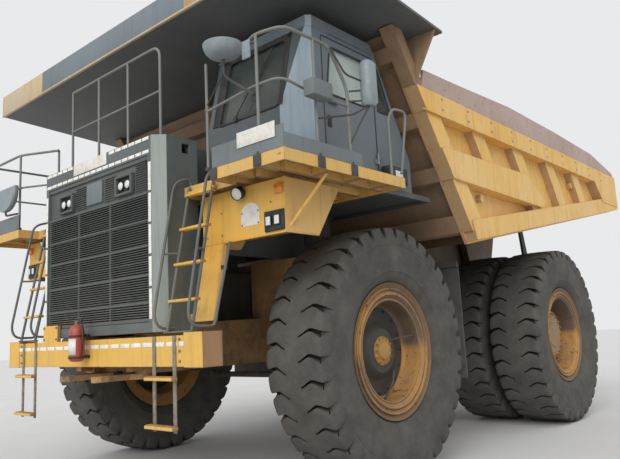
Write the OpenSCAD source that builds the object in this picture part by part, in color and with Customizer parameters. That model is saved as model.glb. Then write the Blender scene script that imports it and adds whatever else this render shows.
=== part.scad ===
// Rigid mining dump truck with a canopied body, in millimetres.
// It faces -Y and +X is its left side. Z is 0 at the ground under the tyres.

/* [Wheels and axles] */
// Tyre outside diameter over the lugs
tyre_d = 2690; // [2600:10:2760]
// Tyre section width
tyre_w = 740; // [680:10:780]
// Distance between the front and rear axles
wheelbase = 4560; // [4400:10:4800]
// Distance between the front tyre centres
track_front = 4170; // [4100:10:4240]
// Distance between the centres of the two rear pairs
track_rear = 3640; // [3580:10:3700]
// Distance between the two tyres of a rear pair, centre to centre
pair_pitch = 880; // [850:5:900]
// Depth of the tyre lugs
lug_h = 78; // [50:2:90]

/* [Body] */
// From the front axle back to the tail of the body
tail_reach = 7460; // [7300:10:7600]
// From the front axle forward to the foremost point
front_reach = 2450; // [2440:5:2500]
// Width of the canopy over the cab
canopy_w = 6130; // [5900:10:6300]
// Width of the body over its side rails
body_w = 5600; // [5500:10:5640]
// Height of the top of the body's side rails
rail_top_z = 4290; // [4260:5:4320]
// Height of the canopy's underside at its front lip
canopy_z = 4990; // [4970:5:5100]
// Height of the canopy's front fascia
fascia_h = 300; // [200:10:360]

/* [Front end] */
// Width of the front bumper
bumper_w = 3792; // [3600:10:3860]
// Width of the grille opening
grille_w = 2060; // [1900:10:2080]
// Number of grille slats
slat_count = 27; // [18:1:32]
// Height of the deck's walking surface
deck_z = 3100; // [3080:5:3130]
// Height of the deck handrails above the deck
rail_h = 1100; // [1000:10:1150]
// Height of the cab roof
cab_top_z = 4730; // [4700:5:4760]

/* [Hidden] */
$fn = 48;
axle_z = tyre_d / 2;
front_y = (front_reach - tail_reach) / 2;
rear_y = wheelbase;
wheel_x = track_front / 2;
pair_x = track_rear / 2;
kingpin_x = 1350;
lug_count = 35;
bead_r = 622;
flange_r = 724;
rim_half = 268;
fit_gap = 0.3;
pin_gap = 2;
seat_gap = 5;
// frame rails
rail_in = 400;
rail_out = 600;
frame_top = 2250;
// body pivot and hoist pins, y from the front axle
pivot_y = 5460;
pivot_z = 1900;
pivot_r = 70;
hoist_x = 820;
hoist_base = [3000, 1180];
hoist_top = [2550, 2560];
hoist_pin_r = 45;
// body shell
wall_out = body_w / 2 - 160;
wall_in = wall_out - 40;
body_half = body_w / 2;
floor_rise = tan(9.9);
lean = tan(34.3);
function floor_z(y) = 2560 + (y - 1340) * floor_rise;
function wall_y(z) = 180 + (4260 - z) * lean;
function canopy_under(y) = canopy_z - (y + 1925) * 0.0583;
// cab
cab_in = 1150;
cab_out = 2480;
cab_wall = 60;
cab_floor_z = deck_z + fit_gap;
sill_z = 3955;
head_z = 4470;
pane_y = [-1065, -395, -985];
roof_z = cab_top_z - 120;
door_front = -1120;
door_back = -250;
door_gap = 6;
hinge_z = [3400, 4300];
deck_back = -350;
tube_r = 20;

// helpers: all y values below are counted from the front axle
module at_axle() translate([0, front_y, 0]) children();

module both_sides() {
  children();
  mirror([1, 0, 0]) children();
}

module block(x0, x1, y0, y1, z0, z1) translate([x0, y0, z0]) cube([x1 - x0, y1 - y0, z1 - z0]);

module side_plate(x0, x1, pts) translate([x0, 0, 0]) rotate([90, 0, 90])
  linear_extrude(height = x1 - x0) polygon(pts);

module front_plate(y0, y1, pts) translate([0, y1, 0]) rotate([90, 0, 0])
  linear_extrude(height = y1 - y0) polygon(pts);

module plan_plate(z0, z1, pts) translate([0, 0, z0]) linear_extrude(height = z1 - z0) polygon(pts);

module bar(p, q, r) {
  v = q - p;
  l = norm(v);
  translate(p) rotate([0, acos(v.z / l), atan2(v.y, v.x)]) cylinder(h = l, r = r);
}

module tube_run(pts, r = tube_r) {
  for (i = [0:len(pts) - 2]) bar(pts[i], pts[i + 1], r);
  if (len(pts) > 2) for (i = [1:len(pts) - 2]) translate(pts[i]) sphere(r = r + 2);
}

module pin_x(x0, x1, y, z, r) translate([x0, y, z]) rotate([0, 90, 0]) cylinder(h = x1 - x0, r = r);

module spin_x(x, y) translate([x, y, axle_z]) rotate([0, 90, 0]) rotate_extrude() children();

// main frame: box rails, cross tubes, strut towers and brackets, each a solid of its own
module main_frame() color("#c9962f") at_axle() {
  both_sides() {
    side_plate(rail_in, rail_out, [[-1950, 1250], [900, 1250], [1700, 1740], [5150, 1740], [5620, 1780],
      [5640, 2040], [5400, frame_top], [1300, frame_top], [700, 1800], [-260, 1800], [-320, 1780],
      [-1620, 1750], [-1690, 1660 - fit_gap], [-1950, 1660 - fit_gap]]);
    pin_x(rail_out, 765, pivot_y, pivot_z, pivot_r);
    pin_x(rail_out, 640 - fit_gap, pivot_y, pivot_z, pivot_r + 45);
  }
  for (c = [[-1900, -1700, 1300, 1640], [1350, 1550, 1780, 2200]])
    block(fit_gap - rail_in, rail_in - fit_gap, c[0], c[1], c[2], c[3]);
  both_sides() front_plate(-230, 230, [[rail_in, 1800 + fit_gap], [rail_out, 1800 + fit_gap], [700, 2120],
    [1180, 2220], [1180, 2480], [rail_in, 2480]]);
  block(fit_gap - rail_in, rail_in - fit_gap, -150, 150, 2380, 2480);
  both_sides() block(rail_out + fit_gap, 650, 2860, 3140, 1080, 2000);
  both_sides() {
    pin_x(650 + fit_gap, 900, hoist_base[0], hoist_base[1], hoist_pin_r);
    pin_x(650 + fit_gap, hoist_x - 50 - fit_gap, hoist_base[0], hoist_base[1], hoist_pin_r + 28);
  }
  both_sides() block(rail_out + fit_gap, 765, 4880, 5020, 1980, 2120);
  both_sides() block(450, 560, -2080, -1950 - fit_gap, 1280, 1600 - fit_gap);
  both_sides() tow_tongue();
  rear_hitch();
}

module tow_tongue() difference() {
  plan_plate(1190, 1250 - fit_gap, [[250, -1800], [250, -2330], [280, -2380], [360, -2380], [390, -2330],
    [390, -2000], [560, -1900], [560, -1800]]);
  translate([320, -2310, 1100]) cylinder(h = 300, r = 40);
}

module rear_hitch() difference() {
  union() {
    block(fit_gap - rail_in, rail_in - fit_gap, 5050, 5250, 1820, 2180);
    side_plate(-110, 110, [[5250, 1820], [5560, 1640], [5560, 1480], [5250, 1520], [5100, 1700], [5100, 1830]]);
    plan_plate(1500, 1560, [[-110, 5400], [110, 5400], [110, 5860], [60, 5920], [-60, 5920], [-110, 5860]]);
  }
  translate([0, 5820, 1400]) cylinder(h = 300, r = 35);
}

// straight channel, a taller box at each end and a small cover on top
module front_bumper() color("#dfa93a") at_axle() {
  half = bumper_w / 2;
  seam = 1630;
  difference() {
    block(-seam, seam, -2246, -2020, 1340, 1620);
    block(-seam - 10, seam + 10, -2226, -2000, 1300, 1600);
  }
  both_sides() difference() {
    block(seam + fit_gap, half, -2250, -2024, 1334, 1644);
    block(seam + 20, half - 20, -2230, -2000, 1300, 1624);
  }
  both_sides() block(450, 560, -2226, -2080 - fit_gap, 1360, 1600);
  block(-1020, -690, -2244, -2204, 1620 + fit_gap, 1805);
}

// upper halves of the two front struts, and both rear struts with their feet
module suspension() color("#3c4146") at_axle() both_sides() {
  translate([kingpin_x, 0, 1900]) cylinder(h = 1050, r = 165);
  translate([kingpin_x, 0, 2180]) cylinder(h = 340, r = 169);
  block(1180 + fit_gap, 1300, -150, 150, 2240, 2460);
  translate([850, 4950, 1560]) cylinder(h = 560, r = 62);
  translate([850, 4950, 1760]) cylinder(h = 330, r = 84);
  block(765 + fit_gap, 850, 4890, 5010, 1990, 2110);
}

module rear_axle() color("#c48f2c") at_axle() {
  tube_end = pair_x + pair_pitch / 2 - fit_gap;
  spin_x(0, rear_y) polygon([[0, -330], [330, -250], [372, 0], [330, 250], [0, 330]]);
  translate([0, rear_y, axle_z]) rotate([90, 0, 0]) cylinder(h = 620, r1 = 280, r2 = 150);
  pin_x(-tube_end, tube_end, rear_y, axle_z, 205);
  both_sides() pin_x(300, 940, rear_y, axle_z, 250);
  both_sides() block(800, 900, rear_y + 160, rear_y + 470, axle_z + 75, 1560 - fit_gap);
  side_plate(-110, 110, [[rear_y - 1300, 1500], [rear_y - 100, axle_z + 215],
    [rear_y - 100, axle_z + 355], [rear_y - 1300, 1640]]);
}

// one plain block stands for the engine and gearbox
module engine() color("#6b6a62") at_axle() {
  block(-380, 380, -1690, 600, 1330, 2360);
  block(-430, 430, -1690, -350, 2500, 3260);
  block(-340, 340, -1600, -400, 2350, 2520);
  block(-260, 260, 700, 2300, 1400, 1780 - fit_gap);
  block(-rail_in + fit_gap, rail_in - fit_gap, -1200, -1000, 1500, 1650);
}

module radiator_shell() color("#5d6970") at_axle() {
  half = grille_w / 2;
  difference() {
    plan_plate(1660, 3630, [[-1200, -1700], [-1200, -2090], [-1090, -2200], [1090, -2200], [1200, -2090],
      [1200, -1700]]);
    block(-half, half, -2300, -1600, 1760, 3430);
    block(-1160, 1160, -2060, -1600, 1700, 3600);
    block(1100, 1300, -1900, -1800, 3470, 3570);
  }
}

module grille() color("#39424a") at_axle() {
  half = grille_w / 2 - fit_gap;
  pitch = 1670 / slat_count;
  block(-half, half, -2120, -2100, 1760 + fit_gap, 3430 - fit_gap);
  for (z = [1760 + fit_gap, 2010, 2370, 2730, 3150, 3430 - 40]) block(-half, half, -2185, -2100, z, z + 36);
  for (x = [-half, -340, 310, half - 30]) block(x, x + 30, -2180, -2100, 1762, 3428);
  for (i = [1:slat_count - 1]) translate([0, -2120, 1760 + i * pitch]) rotate([35, 0, 0])
    block(-half, half, -50, 0, -4, 4);
}

module hood() color("#3f484f") at_axle() {
  both_sides() block(960, 990, -1700 + fit_gap, 350, 2480 + fit_gap, 3600 - fit_gap);
  block(-990, 990, -1700 + fit_gap, 350, 3600, 3630);
  block(fit_gap - 960, 960 - fit_gap, 320, 350, 2600, 3600 - fit_gap);
}

// yellow deck edges, plates and the ribs under them
module decks() color("#d9a336") at_axle() both_sides() {
  edge = [[1000, deck_back], [1000, -1694], [1206, -1694], [1206, -1880], [1950, -1880], [1950, -2150],
    [2870, -2150], [2870, deck_back]];
  difference() {
    plan_plate(deck_z - 110, deck_z, edge);
    block(1020, 2540, -1674, deck_back - 20, deck_z - 200, deck_z - 12);
    block(1226, 2540, -1860, -1600, deck_z - 200, deck_z - 12);
    block(1970, 2850, -2130, -1850, deck_z - 200, deck_z - 12);
    block(2500, 2850, -1900, deck_back - 20, deck_z - 200, deck_z - 12);
  }
  for (x = [1300, 1620, 1940, 2240, 2540]) block(x, x + 60, -1870, deck_back - 15, deck_z - 90, deck_z - 10);
  for (x = [2160, 2500]) block(x, x + 60, -2140, -1850, deck_z - 90, deck_z - 10);
  for (y = [-1500, -1050, -600]) block(2560, 2860, y, y + 70, deck_z - 90, deck_z - 10);
}

// dark plates that carry the deck on behind the cab's door
module rear_decks() color("#4a565e") at_axle() both_sides() difference() {
  block(1000, 2500, deck_back + fit_gap, 760, deck_z - 60, deck_z);
  block(1020, 2480, deck_back + 20, 740, deck_z - 100, deck_z - 12);
}

module toe_boards() color("#56636c") at_axle() both_sides() {
  block(1960, 2866, -2146, -2138, deck_z + fit_gap, deck_z + 200);
  block(2858, 2866, -2138, door_front + 60, deck_z + fit_gap, deck_z + 130);
}

// boxes under the front of the decks, each with a leg down to the bumper
module fenders() color("#dda437") at_axle() both_sides() {
  difference() {
    side_plate(1330, 2480, [[-1750, 2480], [-1300, 2480], [-950, deck_z - 110 - fit_gap],
      [-1750, deck_z - 110 - fit_gap]]);
    side_plate(1400, 2460, [[-1730, 2400], [-1310, 2400], [-975, 3200], [-1730, 3200]]);
  }
  side_plate(1340, 1640, [[-1750, 2500], [-1700, 2500], [-1860, 1740], [-1910, 1740]]);
  block(1200 + fit_gap, 1345, -1860, -1700, 1760, 1820);
  bar([2440, -1700, 2500], [2790, -1520, deck_z - 112], 16);
}

module ladders() color("#8d8f88") at_axle() both_sides() {
  foot = [0, -2200, 1655];
  head = [0, -1905, 3080];
  for (x = [1320, 1690]) bar([x, foot.y, foot.z], [x, head.y, head.z], 18);
  for (t = [0.2, 0.43, 0.67, 0.9]) {
    p = foot + (head - foot) * t;
    block(1320, 1690, p.y - 35, p.y + 35, p.z - 12, p.z + 12);
  }
  block(1300, 1710, foot.y - 30, foot.y + 30, 1644 + fit_gap, 1658);
  block(1300, 1710, head.y - 20, -1880 - fit_gap, 2992, 3012);
  for (x = [1250, 1760]) tube_run([[x, -1830, deck_z + fit_gap], [x, -1830, 3150], [x, -1870, 3190],
    [x, -2040, 3120],
    [x, -2300, 1800], [x, -2240, 1690], [x, -2060, 1690]], 16);
  for (x = [[1250, 1320], [1760, 1690]]) bar([x[0], -2182, 2400], [x[1], -2044, 2400], 12);
}

module hanging_steps() color("#8b8a84") at_axle() both_sides() {
  for (x = [1130, 1430]) block(x, x + 14, -2262, -2246 - fit_gap, 760, 1600);
  for (z = [790, 1220]) block(1130, 1444, -2330, -2250, z, z + 26);
}

// loop on the hood behind the radiator's top
module hood_rail() color("#767d80") at_axle() {
  hood_top = 4650;
  for (x = [-760, -160, 440]) bar([x, -2040, 3630 + fit_gap], [x, -2040, hood_top], 17);
  tube_run([[-760, -2040, hood_top], [980, -2040, hood_top], [1040, -2040, hood_top - 60],
    [1040, -2040, 3630 + fit_gap]], 18);
  bar([-760, -2040, 4150], [1040, -2040, 4150], 14);
}

module left_rail() color("#767d80") at_axle() {
  top = deck_z + rail_h;
  mid = deck_z + rail_h * 0.52;
  for (p = [[1880, -2120, top - 60], [2560, -2120, top], [2840, -1680, top], [2840, -1210, top - 340]])
    bar([p.x, p.y, deck_z + fit_gap], p, 17);
  tube_run([[2480, -2120, top - 30], [2560, -2120, top], [2820, -2040, top + 10], [2840, -1680, top],
    [2840, -1460, top], [2840, -1205, top - 345]]);
  tube_run([[1880, -2120, mid], [2560, -2120, mid + 60], [2790, -2060, mid + 80], [2840, -1680, mid],
    [2840, -1180, mid]], 14);
}

module grab_rail() color("#767d80") at_axle() tube_run([[2840, -540, deck_z + 0.45], [2840, -545, 3700],
  [2840, -450, 3830], [2840, -230, 3850], [2840, -210, 3780], [2840, -360, 3150]], 17);

module right_rail() color("#767d80") at_axle() mirror([1, 0, 0]) {
  top = deck_z + rail_h - 80;
  mid = deck_z + rail_h * 0.52;
  for (p = [[1500, -1840], [2000, -2120], [2840, -2120], [2840, -1200], [2840, -420]])
    bar([p.x, p.y, deck_z + fit_gap], [p.x, p.y, top], 17);
  tube_run([[1480, -1850, top], [2000, -2120, top], [2840, -2120, top], [2840, -390, top]], 20);
  tube_run([[1480, -1850, mid], [2000, -2120, mid], [2840, -2120, mid], [2840, -390, mid]], 14);
}

// cab: one outer and one inner form, cut into floor, roof and walls
module cab_form(inset) {
  in = cab_in + inset;
  out = cab_out - inset;
  fy = -1500 + inset;
  cut = 250 - inset * 0.41;
  intersection() {
    side_plate(cab_in - 100, cab_out + 100, [[fy, cab_floor_z], [fy, 3770], [fy + 205, 4640],
      [fy + 205, cab_top_z - inset], [-250 - inset, cab_top_z - inset], [400 - inset * 1.2, 3480],
      [400 - inset, cab_floor_z]]);
    plan_plate(3000, 4900, [[in, fy], [out - cut, fy], [out, fy + cut], [out, 600], [in, 600]]);
  }
}

module cab_shell() difference() {
  cab_form(0);
  intersection() {
    cab_form(cab_wall);
    block(0, 3000, -2000, 1000, cab_floor_z + cab_wall, 5000);
  }
  cab_windows(0);
  block(cab_out - 80, cab_out + 50, door_front, door_back, cab_floor_z + cab_wall, head_z + 90);
}

module cab_windows(g) {
  front_plate(-1700, -1250, [[1330 + g, 3790 + g], [2215 - g, 3790 + g], [2190 - g, 4550 - g],
    [1350 + g, 4550 - g]]);
  front_plate(-200, 500, [[1330 + g, 3840 + g], [2290 - g, 3840 + g], [2290 - g, 4480 - g],
    [1330 + g, 4480 - g]]);
  side_plate(cab_in - 50, cab_in + 100, [[-1150 + g, 3880 + g], [-150 - g, 3880 + g], [-250 - g, 4490 - g],
    [-1150 + g, 4490 - g]]);
  side_plate(cab_out - 100, cab_out + 50, [[-190 + g, sill_z + g], [70 - g, sill_z + g], [-160 - g, head_z - g],
    [-190 + g, head_z - g]]);
}

module cab_floor() color("#56636c") at_axle() {
  intersection() {
    cab_shell();
    block(0, 3000, -2000, 1000, cab_floor_z, cab_floor_z + cab_wall);
  }
  block(1250, 2100, -1420, -1260, cab_floor_z + cab_wall, 3760);
}

// half of a door hinge: a barrel on the axis and a leaf to the side it is bolted to
module hinge_half(z, side) {
  translate([cab_out + 14, door_back, z + (side > 0 ? fit_gap : -60)]) cylinder(h = 60, r = 13);
  block(cab_out - 1, cab_out + 14, side > 0 ? door_back : door_back - 60, side > 0 ? door_back + 60 : door_back,
    z + (side > 0 ? fit_gap : -60), z + (side > 0 ? 60 + fit_gap : 0));
}

module cab_part(y0, y1, x0, x1) intersection() {
  cab_shell();
  block(x0, x1, y0, y1, cab_floor_z + cab_wall + fit_gap, roof_z - fit_gap);
}

module cab_front() color("#5b6971") at_axle() cab_part(-1600, -1250, 1000, 2600);

module cab_rear() color("#5b6971") at_axle() difference() {
  cab_part(-330, 700, cab_in + cab_wall + fit_gap, cab_out - cab_wall - fit_gap);
  block(0, 3000, -400, -330, 3000, 5000);
}

module cab_side_left() color("#5b6971") at_axle() {
  cab_part(-1250 + fit_gap, 700, cab_out - cab_wall, cab_out + 10);
  for (z = hinge_z) hinge_half(z, 1);
}

module cab_side_right() color("#5b6971") at_axle()
  cab_part(-1250 + fit_gap, 700, cab_in - 10, cab_in + cab_wall);

module cab_roof() color("#4b565e") at_axle() intersection() {
  cab_shell();
  block(0, 3000, -2000, 1000, roof_z, 5000);
}

module cab_glass() color([0.2, 0.25, 0.27, 0.5]) at_axle() intersection() {
  difference() {
    cab_form(26);
    cab_form(34);
  }
  cab_windows(fit_gap);
}

module seat() color("#22262a") at_axle() {
  block(1620, 2080, -620, -180, cab_floor_z + cab_wall, 3420);
  block(1580, 2120, -700, -140, 3420, 3560);
  side_plate(1600, 2100, [[-260, 3560], [-140, 3560], [-60, 4180], [-150, 4190]]);
}

module steering_wheel() color("#1c1f22") at_axle() {
  bar([1850, -1238.3, 3588.2], [1850, -1010, 3860], 28);
  translate([1850, -1010, 3860]) rotate([-40, 0, 0]) rotate_extrude() translate([205, 0]) circle(r = 17);
  translate([1850, -1010, 3860]) rotate([-40, 0, 0]) block(-205, 205, -20, 20, -8, 8);
}

module cab_door() color("#5b6971") at_axle() {
  y0 = door_front + door_gap;
  y1 = door_back - door_gap;
  z0 = cab_floor_z + cab_wall + door_gap;
  z1 = head_z + 90 - door_gap;
  difference() {
    block(cab_out - cab_wall, cab_out, y0, y1, z0, z1);
    side_plate(cab_out - 100, cab_out + 20, [[pane_y[0], sill_z], [pane_y[1], sill_z], [pane_y[1], head_z],
      [pane_y[2], head_z]]);
  }
  block(cab_out, cab_out + 25, -1060, -930, 3850, 3880);
  for (z = hinge_z) hinge_half(z, -1);
}

module door_glass() color([0.7, 0.8, 0.78, 0.4]) at_axle() side_plate(cab_out - 34, cab_out - 26,
  [[pane_y[0] + fit_gap, sill_z + fit_gap], [pane_y[1] - fit_gap, sill_z + fit_gap],
  [pane_y[1] - fit_gap, head_z - fit_gap], [pane_y[2] + fit_gap, head_z - fit_gap]]);

module mirrors() color("#6d7679") at_axle() {
  tube_run([[2540, -2147.2, 3640], [2250, -2151, 3900], [2125, -2151, 4066]], 14);
  translate([2125, -2150, 4060]) rotate_extrude() polygon([[0, 0], [130, 22], [222, 90], [250, 190], [230, 195],
    [202, 100], [120, 50], [0, 30]]);
  block(2420, 2520, -2160, -2140 - fit_gap, 3990, 4160);
  bar([2520, -2150, 4120], [2546, -2130.5, 4120], 9);
  plan_plate(3665, 4110, [[2930, -1120], [2960, -1150], [3030, -1150], [3062, -1118], [3062, -1012],
    [2930, -1012]]);
  for (z = [3720, 3820]) bar([2854, -1199.7, z], [2952, -1128, z], 9);
  mirror([1, 0, 0]) {
    front_plate(-2235, -2165, [[1930, 3690], [1930, 3560], [2010, 3430], [2150, 3370], [2330, 3370],
      [2470, 3430], [2540, 3560], [2540, 3690]]);
    tube_run([[2007.7, -2147, 3320], [2235, -2200, 3320], [2235, -2200, 3380]], 14);
  }
}

module lamps() color("#d8dcd8") at_axle() both_sides() {
  for (x = [500, 630]) block(x, x + 90, -2230, -2185 - fit_gap, 3160, 3250);
  for (x = [2270, 2400]) block(x, x + 80, -1790, -1750 - fit_gap, 2530, 2660);
}

module tanks() color("#3a3f44") at_axle() {
  block(-1640, -1010, 2060, 2960, 1050, 1950);
  pin_x(1010, 1560, 2500, 1500, 380);
  both_sides() block(rail_out + fit_gap, 1010 - fit_gap, 2160, 2300, 1760, 1840);
}

module mud_flaps() color("#26282a") at_axle() both_sides() {
  block(1240, 2240, 1790, 1806, 900, 2400);
  block(1240, 2240, 1760, 1790, 2340, 2420);
  block(rail_out + fit_gap, 1240, 1766, 1800, 2100, 2180);
  block(1200, 1290, 1766, 1800, 2100, 2420);
}

module extinguisher() color("#b3281c") at_axle() {
  bottle_x = -30;
  bottle_y = -front_reach + 82;
  translate([bottle_x, bottle_y, 1400]) cylinder(h = 320, r = 82);
  translate([bottle_x, bottle_y, 1720]) cylinder(h = 60, r1 = 82, r2 = 25);
  translate([bottle_x, bottle_y, 1780]) cylinder(h = 50, r = 18);
  block(bottle_x - 60, bottle_x + 60, -2290, -2246 - fit_gap, 1430, 1470);
  block(bottle_x - 60, bottle_x + 60, -2290, -2246 - fit_gap, 1650, 1680);
}

module air_cleaners() color("#33383c") at_axle() mirror([1, 0, 0]) {
  for (x = [1350, 1850]) {
    translate([x, -1400, deck_z + fit_gap]) cylinder(h = 620, r = 210);
    translate([x, -1400, deck_z + 620]) cylinder(h = 90, r = 260);
  }
}

module knuckle_left() color("#4a4f53") at_axle() {
  translate([kingpin_x, 0, 1120]) cylinder(h = 460, r = 225);
  translate([kingpin_x, 0, 1570]) cylinder(h = 330 - fit_gap, r = 120);
  pin_x(kingpin_x, wheel_x + 70 - fit_gap, 0, axle_z, 176 - pin_gap);
  side_plate(kingpin_x - 70, kingpin_x + 70, [[100, 1140], [100, 1260], [620, 1160], [620, 1080], [500, 1080]]);
}

module knuckle_right() mirror([1, 0, 0]) knuckle_left();

module tie_rod() color("#4a4f53") at_axle() {
  pin_x(-kingpin_x, kingpin_x, 560, 1030, 40);
  both_sides() translate([kingpin_x, 560, 985]) cylinder(h = 95 - fit_gap, r = 62);
}

module front_rim() spin_x(wheel_x, 0) polygon([[0, 165], [120, 165], [135, 150], [135, 110], [255, 95], [275, 30],
  [505, 30], [530, 70], [545, 250], [600, rim_half], [flange_r, rim_half + 14], [flange_r, rim_half - 6], [650, 232],
  [bead_r, 221], [bead_r, -221], [650, -232], [flange_r, 6 - rim_half], [flange_r, -rim_half - 14], [600, -rim_half],
  [560, -240], [545, -60], [505, -20], [275, -30], [275, -190], [176, -190], [176, 70], [0, 70]]);

module front_left_rim() color("#b8852c") at_axle() front_rim();
module front_right_rim() color("#b8852c") at_axle() mirror([1, 0, 0]) front_rim();

module rear_rim_pair() spin_x(pair_x, rear_y) {
  o = pair_pitch / 2;
  tip = rim_half + 14;
  lip = rim_half - 6;
  polygon([[0, o + 80], [360, o + 80], [378, o + 60], [378, o - 20], [530, o - 35], [548, o], [548, o + 240],
    [600, o + rim_half], [flange_r, o + tip], [flange_r, o + lip], [650, o + 232], [bead_r, o + 221],
    [bead_r, o - 221], [650, o - 232], [flange_r, o - lip], [flange_r, o - tip], [600, o - rim_half],
    [600, rim_half - o], [flange_r, tip - o], [flange_r, lip - o], [650, 232 - o], [bead_r, 221 - o],
    [bead_r, -221 - o], [650, -232 - o], [flange_r, -lip - o], [flange_r, -tip - o], [600, -rim_half - o],
    [548, -240 - o], [548, o - 90], [378, o - 75], [378, -400], [205 + pin_gap, -400], [205 + pin_gap, o], [0, o]]);
}

module rear_left_rims() color("#c8922f") at_axle() rear_rim_pair();
module rear_right_rims() color("#c8922f") at_axle() mirror([1, 0, 0]) rear_rim_pair();

// tyre ring: a closed profile at each station, the two shoulders' lugs staggered
function tyre_profile(i) = let (hi = axle_z, lo = axle_z - lug_h, s = tyre_w / 2) [
  [bead_r + 5, -220], [980, -s], [i % 2 == 0 ? hi : lo, -s + 25], [hi - 14, 0],
  [i % 2 == 0 ? lo : hi, s - 25], [980, s], [bead_r + 5, 220]];

module tyre(x, y) translate([x, y, axle_z]) {
  n = lug_count * 2;
  m = 7;
  pts = [for (i = [0:n - 1]) let (a = i * 360 / n - 90) for (p = tyre_profile(i))
    [p[1], p[0] * cos(a), p[0] * sin(a)]];
  tris = [for (i = [0:n - 1]) for (j = [0:m - 1]) let (a = i * m + j, b = i * m + (j + 1) % m,
    c = ((i + 1) % n) * m + (j + 1) % m, d = ((i + 1) % n) * m + j) each [[a, b, c], [a, c, d]]];
  polyhedron(points = pts, faces = tris);
}

module front_left_tyre() color("#2b2a28") at_axle() tyre(wheel_x, 0);
module front_right_tyre() color("#2b2a28") at_axle() tyre(-wheel_x, 0);
module rear_left_tyres() color("#2b2a28") at_axle() for (s = [-0.5, 0.5]) tyre(pair_x + s * pair_pitch, rear_y);
module rear_right_tyres() color("#2b2a28") at_axle() for (s = [-0.5, 0.5])
  tyre(-pair_x + s * pair_pitch, rear_y);

// body floor plate with cross ribs under it
module body_floor() color("#c9942f") at_axle() {
  y0 = wall_y(2700) + 215;
  yt = tail_reach;
  side_plate(-wall_in + fit_gap, wall_in - fit_gap, [[y0, floor_z(y0) + 120], [yt, floor_z(yt) + 120],
    [yt, floor_z(yt) + 180], [y0, floor_z(y0) + 180]]);
  for (i = [0:8]) let (y = 1750 + i * 640) side_plate(-wall_in + 60, wall_in - 60, [[y - 80, floor_z(y - 80)],
    [y + 80, floor_z(y + 80)], [y + 80, floor_z(y + 80) + 120 - fit_gap],
    [y - 80, floor_z(y - 80) + 120 - fit_gap]]);
}

// ear over a hoist's upper pin: a seat that is open below and ahead, the way the pin leaves it
hoist_ear = [[hoist_top[0] + 72, hoist_top[1] - 47], [hoist_top[0] + 250, floor_z(hoist_top[0] + 250) - fit_gap],
  [hoist_top[0] - 150, floor_z(hoist_top[0] - 150) - fit_gap], [hoist_top[0] - 59, hoist_top[1] + 62]];

// long beams under the ribs, pivot ears and hoist ears
module body_beams() color("#c9942f") at_axle() both_sides() {
  side_plate(420, 590, [[1500, frame_top + 20], [5500, frame_top + 20], [5900, floor_z(5900) - fit_gap],
    [1500, floor_z(1500) - fit_gap]]);
  difference() {
    side_plate(640, 760, [[pivot_y - 160, pivot_z], [pivot_y - 110, pivot_z - 130], [pivot_y, pivot_z - 170],
      [pivot_y + 110, pivot_z - 130], [pivot_y + 170, pivot_z], [6200, floor_z(6200) - fit_gap],
      [4900, floor_z(4900) - fit_gap]]);
    pin_x(600, 800, pivot_y, pivot_z, pivot_r + pin_gap);
  }
  difference() {
    for (x = [hoist_x - 110 - fit_gap, hoist_x + 70 + fit_gap]) side_plate(x, x + 40, hoist_ear);
    pin_x(hoist_x - 150, hoist_x + 150, hoist_top[0], hoist_top[1], hoist_pin_r + seat_gap);
  }
}

module body_side() {
  top = rail_top_z;
  yt = tail_reach;
  // inner plate
  side_plate(wall_in, wall_out, [[wall_y(2560), 2560], [yt, floor_z(yt)], [yt, top], [wall_y(top), top]]);
  // top rail with the tail block, low rail and mid rail
  side_plate(wall_out - 10, body_half, [[wall_y(top) - 6, top - 8], [wall_y(4020) - 6, 4020], [6180, 4035], [6560, 3690],
    [yt - 6, 3690], [yt - 6, top - 8]]);
  side_plate(wall_out - 14, body_half - 8, [[wall_y(2580) - 10, 2590], [yt - 12, floor_z(yt) + 14], [yt - 12, 3770],
    [6500, 3745], [wall_y(2810) + 60, 2830]]);
  side_plate(wall_out - 18, body_half + 10, [[wall_y(3620) - 24, 3620], [wall_y(3290) - 14, 3290], [3500, 3240],
    [3640, 3340], [3040, 3670], [700, 3640]]);
  // front column and slanted fins
  side_plate(wall_out - 22, body_half - 25, [[wall_y(4100) + 4, 4100], [wall_y(2700) + 4, 2700],
    [wall_y(2700) + 330, 2770], [wall_y(4100) + 330, 4100]]);
  for (f = [[1690, 3500], [2900, 3120], [4120, 3300], [5250, 3500]])
    side_plate(wall_out - 26, body_half - 50, [[f[0] - 240, 4110], [f[0] + 100, 4110],
      [f[0] + 100 + (4110 - f[1]) * lean, f[1]], [f[0] - 240 + (4110 - f[1]) * lean, f[1]]]);
  // lifting eyes
  for (e = [[1720, 3170], [5160, 3830]]) pin_x(wall_out - 10, wall_out + 70, e[0], e[1], 55);
}

module body_side_left() color("#cf9a33") at_axle() body_side();
module body_side_right() color("#cf9a33") at_axle() mirror([1, 0, 0]) body_side();

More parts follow.
